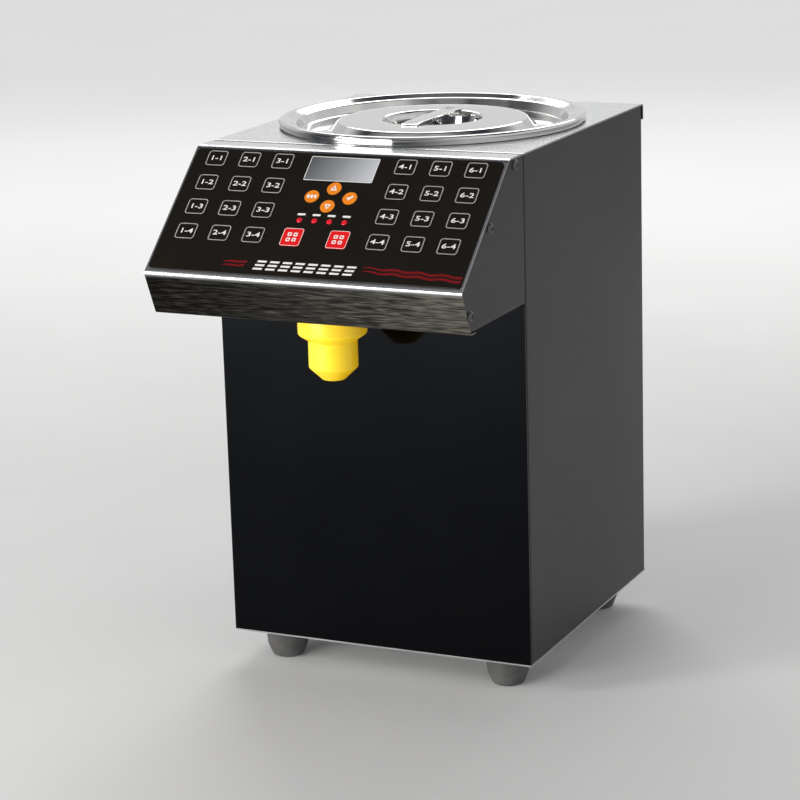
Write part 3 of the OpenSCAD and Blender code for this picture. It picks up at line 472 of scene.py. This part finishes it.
BOLT_R, BOLT_HEAD_R, BOLT_HEAD_H, BOLT_END = 3.0, 5.0, 4.0, 34.2
NUT_R, NUT_LOW, NUT_H = 5.5, 27.2, 5.0
bolt = turned("foot_bolts", [
    (0, WELL_H - BOLT_HEAD_H), (BOLT_R, WELL_H - BOLT_HEAD_H), (BOLT_HEAD_R, WELL_H - BOLT_HEAD_H + 0.6),
    (BOLT_HEAD_R, WELL_H), (BOLT_R, WELL_H), (BOLT_R, NUT_LOW), (NUT_R, NUT_LOW), (NUT_R, NUT_LOW + NUT_H),
    (BOLT_R, NUT_LOW + NUT_H), (BOLT_R, BOLT_END), (0, BOLT_END)], (0, 0), 24, zinc)
repeated(bolt, four_corners, Finish=zinc, **foot_places)
joined(screws, left.data, rear.data, bolt.data)
for spare in (left, rear, bolt, head):
    bpy.data.objects.remove(spare)
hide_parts("screws")
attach(screws, "root")


# ---------------------------------------------------------------- tank, lid and handle
# The tank is deep-drawn stainless. The lid is pressed from 0.8 mm sheet with a rolled
# rim, a ring channel and a finger well, and both are polished on a lathe in fine rings.
def bent(path, radii, t):
    """Outline of a bent sheet. Its face follows the path, t lies to the left, and radii are inside ones."""
    def on(q, i):
        """A point of a path, which runs on straight past both its ends."""
        if i < 0:
            return 2 * q[0] - q[1]
        if i >= len(q):
            return 2 * q[-1] - q[-2]
        return q[i]

    def left_of(v):
        """The direction to the left of another."""
        return Vector((-v.y, v.x)).normalized()

    p = [Vector(q) for q in path]
    far, side = [], []
    for i, point in enumerate(p):
        before, after = point - on(p, i - 1), on(p, i + 1) - point
        n1, n2 = left_of(before), left_of(after)
        far.append(point + (n1 + n2) * (t / (1 + n1.dot(n2))))
        side.append(before.x * after.y - before.y * after.x)
    out = []
    for i, r in enumerate(radii):
        out += corner(on(p, i - 1), p[i], on(p, i + 1), 0 if r <= 0 else r + (t if side[i] > 0 else 0))
    for i, r in reversed(list(enumerate(radii))):
        out += corner(on(far, i + 1), far[i], on(far, i - 1), 0 if r <= 0 else r + (0 if side[i] > 0 else t))
    return out


TANK_MIDDLE = (0.0, 55 * MM)
RING = 0.714           # mm: the polishing lathe's rings are finer, and are drawn coarser to show
polished, tree, spot = new_finish("lathe_polished_stainless", Metallic=1.0)
flat = add(tree, "ShaderNodeMapping", {"Vector": spot, "Location": (0, -TANK_MIDDLE[1], 0),
                                       "Scale": (1, 1, 0)}).outputs["Vector"]
radius = add(tree, "ShaderNodeVectorMath", {0: flat}, operation="LENGTH").outputs["Value"]
rings = add(tree, "ShaderNodeTexNoise", {"W": radius, "Scale": spaced(RING), "Detail": 3.0},
            noise_dimensions="1D").outputs["Fac"]
smears = add(tree, "ShaderNodeTexNoise", {"Vector": spot, "Scale": spaced(71.4), "Detail": 4.0})
marked(polished, rings, [(0.3, "#d3d2d0"), (0.7, "#e3e2e0")], relief=(0.01, 0.2))
marked(polished, smears.outputs["Fac"], sheen=(0.05, 0.12), over=(0.3, 0.7))

STUB_R, STUB_LOW = 2.95, 219.5
TANK_R, TANK_FLOOR, TANK_TOP, TANK_WALL = 110.0, 241.5, 431.5, 1.0
FLANGE_R, FLOOR_FALL, FLANGE_DROP = 121.5, 2.0, 2.0
tank = turned("tank_drawn", bent(
    [(STUB_R, STUB_LOW), (STUB_R, TANK_FLOOR), (TANK_R, TANK_FLOOR + FLOOR_FALL), (TANK_R, TANK_TOP),
     (FLANGE_R, TANK_TOP), (FLANGE_R, TANK_TOP - FLANGE_DROP)], [0, 1, 22, 2, 1, 0], -TANK_WALL),
    TANK_MIDDLE, 160, polished)
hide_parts("tank")
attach(tank, "root")

LID_R, LID_LOW, RIM_TOP, RIM_W, LID_T = 122.8, 430.6, 435.8, 6.0, 0.8
# Seat, ring channel and plateau, each as height, outer and inner radius, then the well
SEAT, SEAT_OUT, SEAT_IN = 432.6, 111.5, 109.0
CHANNEL, CHANNEL_OUT, CHANNEL_IN = 425.0, 106.0, 83.0
PLATEAU, PLATEAU_OUT, PLATEAU_IN = 432.8, 76.0, 40.0
CROWN = 0.5            # how far the plateau falls to its outer edge
POCKET, POCKET_R = 414.8, 36.0
lid = turned("lid_pressed", bent(
    [(LID_R, LID_LOW), (LID_R, RIM_TOP), (LID_R - RIM_W, RIM_TOP), (SEAT_OUT, SEAT), (SEAT_IN, SEAT),
     (CHANNEL_OUT, CHANNEL), (CHANNEL_IN, CHANNEL), (PLATEAU_OUT, PLATEAU - CROWN), (PLATEAU_IN, PLATEAU),
     (POCKET_R, POCKET), (0, POCKET)],
    [0, 1.6, 1.6, 1.2, 0.8, 2, 3, 3, 2, 2, 0], LID_T), TANK_MIDDLE, 192, polished)
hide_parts("lid")
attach(lid, "lid_body")

strap_low, strap_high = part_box("lid_handle")
STRAP_T, STRAP_LOW, STRAP_HIGH = 1.2, 434.0, 434.6
STRAP_END, STRAP_FOOT, STRAP_SPAN = 45.0, 41.0, 34.0
strap_half = [(STRAP_END, STRAP_LOW), (STRAP_FOOT, STRAP_LOW), (STRAP_SPAN, STRAP_HIGH)]
strap_side = bent(strap_half + [(-y, z) for y, z in reversed(strap_half)], [0, 2, 2, 2, 2, 0], STRAP_T)
n = len(strap_side)
points = [(x, TANK_MIDDLE[1] + y * MM, z * MM) for x in (strap_low.x, strap_high.x) for y, z in strap_side]
faces = [tuple(range(n)), tuple(reversed(range(n, 2 * n)))]
faces += [(k, n + k, n + (k + 1) % n, (k + 1) % n) for k in range(n)]
strap = new_piece("lid_strap", points, faces, polished)
build = bmesh.new()
build.from_mesh(strap.data)
bmesh.ops.recalc_face_normals(build, faces=build.faces)
build.to_mesh(strap.data)
build.free()
edge = strap.modifiers.new("rounded_edge", "BEVEL")
edge.width, edge.segments, edge.limit_method = 0.35 * MM, 3, "ANGLE"
strap.data.shade_smooth()
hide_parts("lid_handle")
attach(strap, "lid_body")

# ---------------------------------------------------------------- nozzle
# A polypropylene cap, injection-moulded in bright yellow, pushed over the spout. It has a
# painted glow, an orange emission that stands in for the light that goes through its wall.
NOZZLE_MIDDLE = (0.0, -137 * MM)
yellow, tree, spot = new_finish("moulded_yellow_polypropylene", Roughness=0.32, Subsurface_Weight=0.5,
                                Subsurface_Radius=(1.0, 0.45, 0.08), Subsurface_Scale=6 * MM,
                                Emission_Color=linear("#ffb400"), Emission_Strength=0.2)
flow = add(tree, "ShaderNodeTexNoise", {"Vector": spot, "Scale": spaced(25), "Detail": 2.0}).outputs["Fac"]
skin = add(tree, "ShaderNodeTexNoise", {"Vector": spot, "Scale": spaced(1.11), "Detail": 2.0}).outputs["Fac"]
marked(yellow, flow, [(0.3, "#ffd924"), (0.7, "#ffe338")])
marked(yellow, skin, relief=(0.01, 0.3))      # the mould's skin is drawn coarser than it is

CAP_TOP, CAP_LOW, CAP_R, TIP_R, TIP_H = 314.1, 262.6, 18.75, 8.8, 9.5
RIM_R, RIM_H, RIM_SLOPE, COLLAR_R, OUTLET_R = 26.3, 16.0, 5.0, 16.25, 4.0
cap = turned("nozzle_moulded", rounded(
    [(COLLAR_R, CAP_TOP), (COLLAR_R, CAP_LOW + 16), (OUTLET_R, CAP_LOW + 4), (OUTLET_R, CAP_LOW),
     (TIP_R, CAP_LOW), (CAP_R, CAP_LOW + TIP_H), (CAP_R, CAP_TOP - RIM_H - RIM_SLOPE),
     (RIM_R, CAP_TOP - RIM_H), (RIM_R, CAP_TOP)],
    [0.4, 2, 1, 0.5, 1.5, 2.5, 2, 3, 0.8]), NOZZLE_MIDDLE, 128, yellow)
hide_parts("nozzle_cap")
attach(cap, "cap_body")

# ---------------------------------------------------------------- keypad overlay
# Polyester film, printed black from behind, textured to a satin and glued to the fascia,
# whose steel shows as a bright line round it. The texture is drawn coarser than it is.
film, tree, spot = new_finish("printed_black_polyester", Roughness=0.45, Specular_IOR_Level=0.1)
cloud = add(tree, "ShaderNodeTexNoise", {"Vector": spot, "Scale": spaced(83.3), "Detail": 2.0})
pebble = add(tree, "ShaderNodeTexNoise", {"Vector": spot, "Scale": spaced(0.667), "Detail": 2.0})
marked(film, cloud.outputs["Fac"], [(0.3, "#14110c"), (0.7, "#18140f")])
marked(film, pebble.outputs["Fac"], relief=(0.015, 0.4))
dress(film, "keypad_overlay")


# ---------------------------------------------------------------- portion keys
# Twenty-four pads of the same film, each in its own window, with a stem to its switch. A
# grey line follows the edge and two plain numbers give the column and the row.
def middle(name):
    """Middle of a CAD node's box."""
    low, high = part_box(name)
    return (low + high) / 2


BROW = Vector((0, -97.5, 429)) * MM
DOWN = (middle("key_1_4") - middle("key_1_1")).normalized()
OUT = Vector((1, 0, 0)).cross(-DOWN).normalized()
FILM_FACE = max(v.co.dot(OUT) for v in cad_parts["keypad_overlay"].data.vertices)
KEY_FACE = max(v.co.dot(OUT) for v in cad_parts["key_1_1"].data.vertices)
INK = 0.03 * MM


def on_slope(x, down, face):
    """A point of the sloped face: x to the right, down from the brow, at a height along its normal."""
    foot = Vector((x, 0, 0)) + BROW + DOWN * down
    return foot + OUT * (face - foot.dot(OUT))


def down_of(name):
    """How far down the slope a CAD node's middle lies, from the brow."""
    return (middle(name) - BROW).dot(DOWN)


def ink(name, dim, full, rough=0.5, apart=1.43):
    """Screen-printing ink, or film printed with it: nearly flat, with the mesh's mottle drawn coarser."""
    made, tree, spot = new_finish(name, Roughness=rough, Specular_IOR_Level=0.12)
    mottle = add(tree, "ShaderNodeTexNoise", {"Vector": spot, "Scale": spaced(apart), "Detail": 3.0})
    marked(made, mottle.outputs["Fac"], [(0.3, dim), (0.7, full)])
    return made


grey_ink = ink("grey_screen_ink", "#92908c", "#a5a29e")
white_ink = ink("white_screen_ink", "#d8d5d0", "#f0eeea")


def round_rect(w, h, r, x=0.0, y=0.0, steps=6):
    """A rectangle about (x, y) with rounded corners, anticlockwise."""
    quarters = ((1, 1), (-1, 1), (-1, -1), (1, -1))
    return rounded([(x + sx * w / 2, y + sy * h / 2) for sx, sy in quarters], [r] * 4, steps)


def frame_line(w, h, r, line, inner_r, *at):
    """The printed line round such a rectangle, as its outline, its hole and the number of its ink."""
    return round_rect(w, h, r, *at), round_rect(w - 2 * line, h - 2 * line, inner_r, *at), 0


def printed(name, x, down, face, shapes, *inks, onto=on_slope):
    """Ink as thin plates on the slope, or on another face that onto gives points of.

    shapes are (outline, hole or None, number of the ink) in metres, with y up the slope.
    """
    points, faces, inked = [], [], []
    for outline, hole, number in shapes:
        first, n = len(points), len(outline)
        for loop in (outline, hole) if hole else (outline,):
            for height in (face - INK, face + INK):
                points += [onto(x + p[0], down - p[1], height) for p in loop]
        ring = [(k, (k + 1) % n) for k in range(n)]
        if hole:
            new = [(n + k, n + j, 3 * n + j, 3 * n + k) for k, j in ring]
            new += [(j, k, 2 * n + k, 2 * n + j) for k, j in ring]
            new += [(2 * n + j, 2 * n + k, 3 * n + k, 3 * n + j) for k, j in ring]
        else:
            new = [tuple(range(n, 2 * n)), tuple(reversed(range(n)))]
        new += [(k, j, n + j, n + k) for k, j in ring]
        faces += [tuple(first + v for v in corners) for corners in new]
        inked += [number] * len(new)
    piece = new_piece(name, points, faces, *inks)
    piece.data.polygons.foreach_set("material_index", inked)
    return piece


def numbers(text, high, wide, x, down, face, ink_number):
    """Plain numbers as a thin mesh on the slope, drawn wider than the typeface."""
    curve = bpy.data.curves.new(text, "FONT")
    curve.body = text
    curve.size = high
    curve.resolution_u = 2
    curve.extrude = INK
    curve.offset = high * BOLDER
    curve.align_x, curve.align_y = "CENTER", "CENTER"
    holder = bpy.data.objects.new(text, curve)
    scene.collection.objects.link(holder)
    bpy.context.view_layer.update()
    mesh = bpy.data.meshes.new_from_object(holder.evaluated_get(bpy.context.evaluated_depsgraph_get()))
    bpy.data.objects.remove(holder)
    for v in mesh.vertices:
        v.co = on_slope(x + v.co.x * wide, down - v.co.y, face + v.co.z)
    mesh.polygons.foreach_set("material_index", [ink_number] * len(mesh.polygons))
    return mesh


KEY_W, KEY_H, KEY_R, KEY_RIM, LINE, DIGIT = (s * MM for s in (17, 15, 2.5, 0.3, 0.8, 6.2))
DIGIT_WIDE, BOLDER = 1.4, 0.012      # width over the typeface's, and what its strokes gain for its height
edge_line = frame_line(KEY_W - 2 * KEY_RIM, KEY_H - 2 * KEY_RIM, KEY_R, LINE, KEY_R - LINE)
portion_keys = [f"key_{column}_{row}" for column in range(1, 7) for row in range(1, 5)]
dress(film, *portion_keys)
for name in portion_keys:
    x, down = middle(name).x, down_of(name)
    label = printed(name + "_print", x, down, KEY_FACE, [edge_line], grey_ink, white_ink)
    joined(label, numbers(f"{name[4]}-{name[6]}", DIGIT, DIGIT_WIDE, x, down, KEY_FACE, 1))
    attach(label, name + "_body")

# ---------------------------------------------------------------- selector keys
# Four round pads printed orange: up and down carry a triangle, left three bars for the
# settings and right a tick, all in white.
PAD_ROUGH, PAD_MOTTLE = 0.42, 1.67
orange_film = ink("printed_orange_polyester", "#e07a18", "#ec8a26", PAD_ROUGH, PAD_MOTTLE)
dress(orange_film, "key_up", "key_down", "key_left", "key_right")

MARK, HOLLOW = 2.8 * MM, 0.42       # half a sign's width, and a triangle's hole over its outline
BAR_W, BAR_H, BAR_R, BAR_STEP = (s * MM for s in (2.1, 3.0, 0.4, 2.9))
TRIANGLE = [(0, 1.15), (-1, -0.65), (1, -0.65)]
TICK = [(-0.3, -0.68), (1, 0.62), (0.62, 1.0), (-0.3, 0.08), (-0.62, 0.42), (-1, 0.05)]


def scaled(outline, size):
    """An outline of whole units drawn at a size, upside down where that is negative."""
    return [(a * size, b * size) for a, b in outline]


signs = {"key_up": [(scaled(TRIANGLE, MARK), scaled(TRIANGLE, MARK * HOLLOW), 0)],
         "key_down": [(scaled(TRIANGLE, -MARK), scaled(TRIANGLE, -MARK * HOLLOW), 0)],
         "key_left": [(round_rect(BAR_W, BAR_H, BAR_R, k * BAR_STEP), None, 0) for k in (-1, 0, 1)],
         "key_right": [(scaled(TICK, MARK), None, 0)]}
for name, shapes in signs.items():
    sign = printed(name + "_print", middle(name).x, down_of(name), KEY_FACE, shapes, white_ink)
    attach(sign, name + "_body")

# ---------------------------------------------------------------- start keys
# Two square pads printed red, with four small white squares each. They start a portion
# and rinse the line.
red_film = ink("printed_red_polyester", "#d21417", "#e11d20", PAD_ROUGH, PAD_MOTTLE)
dress(red_film, "key_start_left", "key_start_right")
SQUARE, SQUARE_LINE, SQUARE_STEP, RIM, RIM_LINE = (s * MM for s in (3.3, 0.9, 4.9, 16.2, 0.4))
squares = [frame_line(SQUARE, SQUARE, 0.6 * MM, SQUARE_LINE, 0.3 * MM, sx * SQUARE_STEP / 2,
                      sy * SQUARE_STEP / 2) for sx in (-1, 1) for sy in (-1, 1)]
start_rim = frame_line(RIM, RIM, 2 * MM, RIM_LINE, 1.6 * MM)
for name in ("key_start_left", "key_start_right"):
    sign = printed(name + "_print", middle(name).x, down_of(name), KEY_FACE, squares + [start_rim], white_ink)
    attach(sign, name + "_body")

# ---------------------------------------------------------------- printing on the overlay
# A pale frame round the display, four short bars over the lamps, and a row of eight
# plain slanted marks between two pairs of wavy red bands.
in_row, given, result = new_tree("in_row", Count="Int", Start="Vector", Step="Vector", Finish="Material")
spots = add(in_row, "GeometryNodeMeshLine",
            {"Count": given.outputs["Count"], "Start Location": given.outputs["Start"],
             "Offset": given.outputs["Step"]}, mode="OFFSET")
copies = add(in_row, "GeometryNodeInstanceOnPoints", {"Points": spots.outputs["Mesh"],
                                                      "Instance": given.outputs["Geometry"]})
finished(in_row, given, result, copies)


THIN_END, TAPER = 0.35, 2.5      # a band's thickness at its left end, and how fast it grows


def band(x0, x1, down0, down1, wave, thick, waves, steps=24):
    """A wavy ribbon across the film in mm, printed in the second ink."""
    top, low = [], []
    for k in range(steps + 1):
        t = k / steps
        y = -(down0 + (down1 - down0) * t) + wave * math.sin(math.tau * waves * t)
        half = thick / 2 * min(1.0, THIN_END + TAPER * t)
        top.append(((x0 + (x1 - x0) * t) * MM, (y + half) * MM))
        low.append(((x0 + (x1 - x0) * t) * MM, (y - half) * MM))
    return top[::-1] + low, None, 1


def row_of(piece, count, step, middle_x, down, finish):
    """Repeats a print count times across the film, the row's middle at middle_x, all in mm."""
    first = on_slope((middle_x - (count - 1) / 2 * step) * MM, down * MM, FILM_FACE) - on_slope(0, 0, 0)
    repeated(piece, in_row, Count=count, Step=(step * MM, 0.0, 0.0), Finish=finish, Start=tuple(first))


red_ink = ink("red_screen_ink", "#640c10", "#761216")
DISPLAY_W, DISPLAY_H, DISPLAY_LINE = (s * MM for s in (57, 23, 0.55))
overlay_print = printed("overlay_print", 0, 0, FILM_FACE, [
    frame_line(DISPLAY_W, DISPLAY_H, 1 * MM, DISPLAY_LINE, 0.7 * MM, 0, -down_of("display_window")),
    band(-67, -47.6, 109.0, 108.2, 0.35, 1.9, 1), band(-67, -48.6, 112.4, 111.6, 0.35, 1.7, 1),
    band(47.7, 127.2, 106.9, 110.3, 0.7, 2.1, 4), band(47.7, 127.2, 110.4, 114.0, 0.7, 2.1, 4)],
    white_ink, red_ink)

LAMP_STEP, LAMP_BARS_X, LAMP_BARS_DOWN = 12.4, 0.3, 61.9
LAMP_BAR = (6.4 * MM, 1.8 * MM, 0.3 * MM)      # its width, height and corner
lamp_bars = printed("lamp_bars", 0, 0, 0, [(round_rect(*LAMP_BAR), None, 0)], white_ink)
row_of(lamp_bars, 4, LAMP_STEP, LAMP_BARS_X, LAMP_BARS_DOWN, white_ink)

# Each mark is three slanted strokes, one over the other
STROKE_W, STROKE_H, STROKE_STEP, SLANT = 7.6, 1.7, 3.4, 0.25
MARK_STEP, MARKS_X, MARKS_DOWN = 10.5, 0.8, 110.7
strokes = []
for y in (-STROKE_STEP, 0, STROKE_STEP):
    square = round_rect(STROKE_W, STROKE_H, 0, 0, y)
    strokes.append(([((p.x + SLANT * p.y) * MM, p.y * MM) for p in square], None, 0))
title_marks = printed("title_marks", 0, 0, 0, strokes, white_ink)
row_of(title_marks, 8, MARK_STEP, MARKS_X, MARKS_DOWN, white_ink)
joined(overlay_print, lamp_bars.data, title_marks.data)
for spare in (lamp_bars, title_marks):
    bpy.data.objects.remove(spare)
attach(overlay_print, "root")

# ---------------------------------------------------------------- display
# A liquid-crystal display behind a clear window, switched off: grey, with a painted reflection
# that makes it lighter towards its lower right.
glass, tree, spot = new_finish("display_under_clear_window", Roughness=0.18, Specular_IOR_Level=0.4)
centred = add(tree, "ShaderNodeMapping", {"Vector": spot, "Location": tuple(-middle("display_window"))})
axes = add(tree, "ShaderNodeSeparateXYZ", {"Vector": centred.outputs["Vector"]})
# A painted reflection: the window grows lighter towards its lower right.
painted_reflection_fall = add(tree, "ShaderNodeMath", {0: axes.outputs["X"], 1: 16.0, 2: 0.5}, operation="MULTIPLY_ADD")
painted_reflection_fall = add(tree, "ShaderNodeMath", {0: axes.outputs["Z"], 1: -9.0, 2: painted_reflection_fall.outputs["Value"]},
           operation="MULTIPLY_ADD")
marked(glass, painted_reflection_fall.outputs["Value"], [(0.0, "#4f5155"), (1.0, "#c6c7ca"), (0.45, "#85878a")])
dress(glass, "display_window")

# ---------------------------------------------------------------- indicator lamps
# Four 5 mm light-emitting diodes cast in red epoxy. They stand on the board and look
# through round holes in the fascia and the overlay.
epoxy, tree, spot = new_finish("cast_red_epoxy", Roughness=0.15, Transmission_Weight=0.15, Coat_Weight=0.3)
inside = add(tree, "ShaderNodeTexNoise", {"Vector": spot, "Scale": spaced(3.33)}).outputs["Fac"]
marked(epoxy, inside, [(0.3, "#e2041e"), (0.7, "#fb0c2a")])
dress(epoxy, "indicator_lamps")

# ---------------------------------------------------------------- control board
# Glass-epoxy board under a green solder mask. It carries a switch for each key and the
# display, and hangs on the fascia's studs.
solder_mask, tree, spot = new_finish("green_solder_mask", Roughness=0.4)
traces = add(tree, "ShaderNodeTexBrick",
             {"Vector": spot, "Color1": linear("#12472a"), "Color2": linear("#175534"),
              "Mortar": linear("#2c7a4b"), "Scale": spaced(11.1), "Mortar Size": 0.04})
feed(solder_mask, Base_Color=traces.outputs["Color"])
dress(solder_mask, "control_board")

# ---------------------------------------------------------------- gasket and hoses
# Milky silicone rubber: a flat ring under the tank's flange, and two 12 mm hoses that
# take the syrup from the tank to the pump and on to the spout.
silicone, tree, spot = new_finish("milky_silicone", Roughness=0.45, Subsurface_Weight=0.4,
                                  Subsurface_Scale=4 * MM)
cloud = add(tree, "ShaderNodeTexNoise", {"Vector": spot, "Scale": spaced(8.33), "Detail": 4.0}).outputs["Fac"]
marked(silicone, cloud, [(0.3, "#d9d8d1"), (0.7, "#e9e8e2")])
dress(silicone, "tank_gasket", "hoses")

# ---------------------------------------------------------------- heater band
# A heater in aluminised steel sheet, clamped round the lower part of the tank by two ears
# at its split, with a terminal box between them.
aluminised, tree, spot = new_finish("aluminised_steel", Metallic=1.0)
spangle = add(tree, "ShaderNodeTexVoronoi", {"Vector": spot, "Scale": spaced(5.56)}).outputs["Distance"]
marked(aluminised, spangle, [(0.0, "#a9a9a6"), (0.6, "#c9c9c6")], sheen=(0.3, 0.55))
dress(aluminised, "heater_band")

# ---------------------------------------------------------------- gear pump, motor and spout
# The pump's body is cast aluminium, its gears are brass, the motor's can is painted
# grey, and the spout is turned from stainless bar. Cast skin and cuts are drawn coarser.
cast, tree, spot = new_finish("cast_aluminium", Metallic=1.0)
sand = add(tree, "ShaderNodeTexNoise", {"Vector": spot, "Scale": spaced(1.43), "Detail": 5.0}).outputs["Fac"]
marked(cast, sand, [(0.3, "#8f9192"), (0.7, "#a8aaab")], sheen=(0.4, 0.65), relief=(0.08, 0.5))
dress(cast, "pump_housing")

brass, tree, spot = new_finish("hobbed_brass", Metallic=1.0)
marked(brass, brushed(tree, spot, 0, GRIT), [(0.3, "#b8963f"), (0.7, "#cdaa55")], sheen=(0.22, 0.38))
dress(brass, "drive_gear", "idler_gear")

paint, tree, spot = new_finish("grey_baked_paint", Roughness=0.4)
peel = add(tree, "ShaderNodeTexNoise", {"Vector": spot, "Scale": spaced(2.86), "Detail": 2.0}).outputs["Fac"]
marked(paint, peel, [(0.3, "#4e5154"), (0.7, "#585b5e")], relief=(0.04, 0.4))
dress(paint, "pump_motor")

lathe_steel, tree, spot = new_finish("turned_stainless_bar", Metallic=1.0)
marked(lathe_steel, brushed(tree, spot, 0, GRIT), [(0.3, "#bdbdbc"), (0.7, "#d3d3d1")], sheen=(0.15, 0.3))
dress(lathe_steel, "spout")

# ---------------------------------------------------------------- power supply
# A boxed switching supply on the base pan. Its case is folded from galvanised sheet,
# which is spangled where the zinc froze.
galvanised, tree, spot = new_finish("galvanised_sheet", Metallic=1.0)
spangle = add(tree, "ShaderNodeTexVoronoi", {"Vector": spot, "Scale": spaced(8.33)}).outputs["Color"]
marked(galvanised, spangle, [(0.2, "#a2a5a6"), (0.9, "#bcbfbf")], sheen=(0.3, 0.5))
dress(galvanised, "power_supply")

# ---------------------------------------------------------------- power inlet and mains rocker
# Moulded in black nylon, with a spark texture that is drawn coarser, and clipped into the
# back. It has three nickel-plated pins, and its rocker is red polycarbonate with a ring
# for off and a bar for on, printed in white.
nylon, tree, spot = new_finish("moulded_black_nylon", Roughness=0.5)
spark = add(tree, "ShaderNodeTexNoise", {"Vector": spot, "Scale": spaced(1.11), "Detail": 4.0}).outputs["Fac"]
marked(nylon, spark, [(0.3, "#17171a"), (0.7, "#222225")], relief=(0.04, 0.5))
dress(nylon, "power_inlet")

red_plastic, tree, spot = new_finish("moulded_red_polycarbonate", Roughness=0.25, Coat_Weight=0.2)
depth = add(tree, "ShaderNodeTexNoise", {"Vector": spot, "Scale": spaced(6.25)}).outputs["Fac"]
marked(red_plastic, depth, [(0.3, "#ac0d20"), (0.7, "#c4142a")])
dress(red_plastic, "switch_rocker")


def on_half(low, high):
    """Half of the rocker's face, between edges at (y, z) in mm, as a place for ink seen from behind."""
    ends = [Vector((middle("switch_rocker").x, y * MM, z * MM)) for y, z in (low, high)]
    rise = (ends[1] - ends[0]).normalized()
    out = rise.cross(Vector((1, 0, 0)))
    return lambda x, down, height: (ends[0] + ends[1]) / 2 - Vector((x, 0, 0)) - rise * down + out * height


OFF_EDGE, VALLEY, ON_EDGE = (189.55, 99.24), (188.65, 93.89), (191.16, 89.08)     # of its two flats
SIGN_H, SIGN_LINE, BAR_THICK = (s * MM for s in (3.2, 0.6, 0.7))
off_ring = frame_line(SIGN_H, SIGN_H, 1.55 * MM, SIGN_LINE, 0.95 * MM)
on_bar = (round_rect(BAR_THICK, SIGN_H, 0.2 * MM), None, 0)
for name, mark, place in (("rocker_off_print", off_ring, on_half(VALLEY, OFF_EDGE)),
                          ("rocker_on_print", on_bar, on_half(ON_EDGE, VALLEY))):
    sign = printed(name, 0, 0, 0, [mark], white_ink, onto=place)
    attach(sign, "rocker_body")

nickel, tree, spot = new_finish("nickel_plated_brass", Metallic=1.0)
rubbed = add(tree, "ShaderNodeTexNoise", {"Vector": spot, "Scale": spaced(2), "Detail": 2.0}).outputs["Fac"]
marked(nickel, rubbed, [(0.3, "#b9b3a3"), (0.7, "#d3cdbf")], sheen=(0.15, 0.35))
PIN_SIZE = Vector((2.06, 12.2, 4.06)) * MM     # a hair thicker than the CAD pin that it covers
PIN_PLACES = ((-7, -12), (7, -12), (0, -7))    # (x, z) from the inlet's middle
PIN_TIP_Y = REAR_Y - 4.95
build = bmesh.new()
for x, z in PIN_PLACES:
    tip = middle("power_inlet") + Vector((x, 0, z)) * MM
    seat = Vector((tip.x, PIN_TIP_Y * MM - PIN_SIZE.y / 2, tip.z))
    bmesh.ops.create_cube(build, size=1, matrix=Matrix.LocRotScale(seat, None, PIN_SIZE))
pins = new_piece("inlet_pins", [], [], nickel)
build.to_mesh(pins.data)
build.free()
edge = pins.modifiers.new("rounded_edge", "BEVEL")
edge.width, edge.segments = 0.35 * MM, 2
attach(pins, "root")
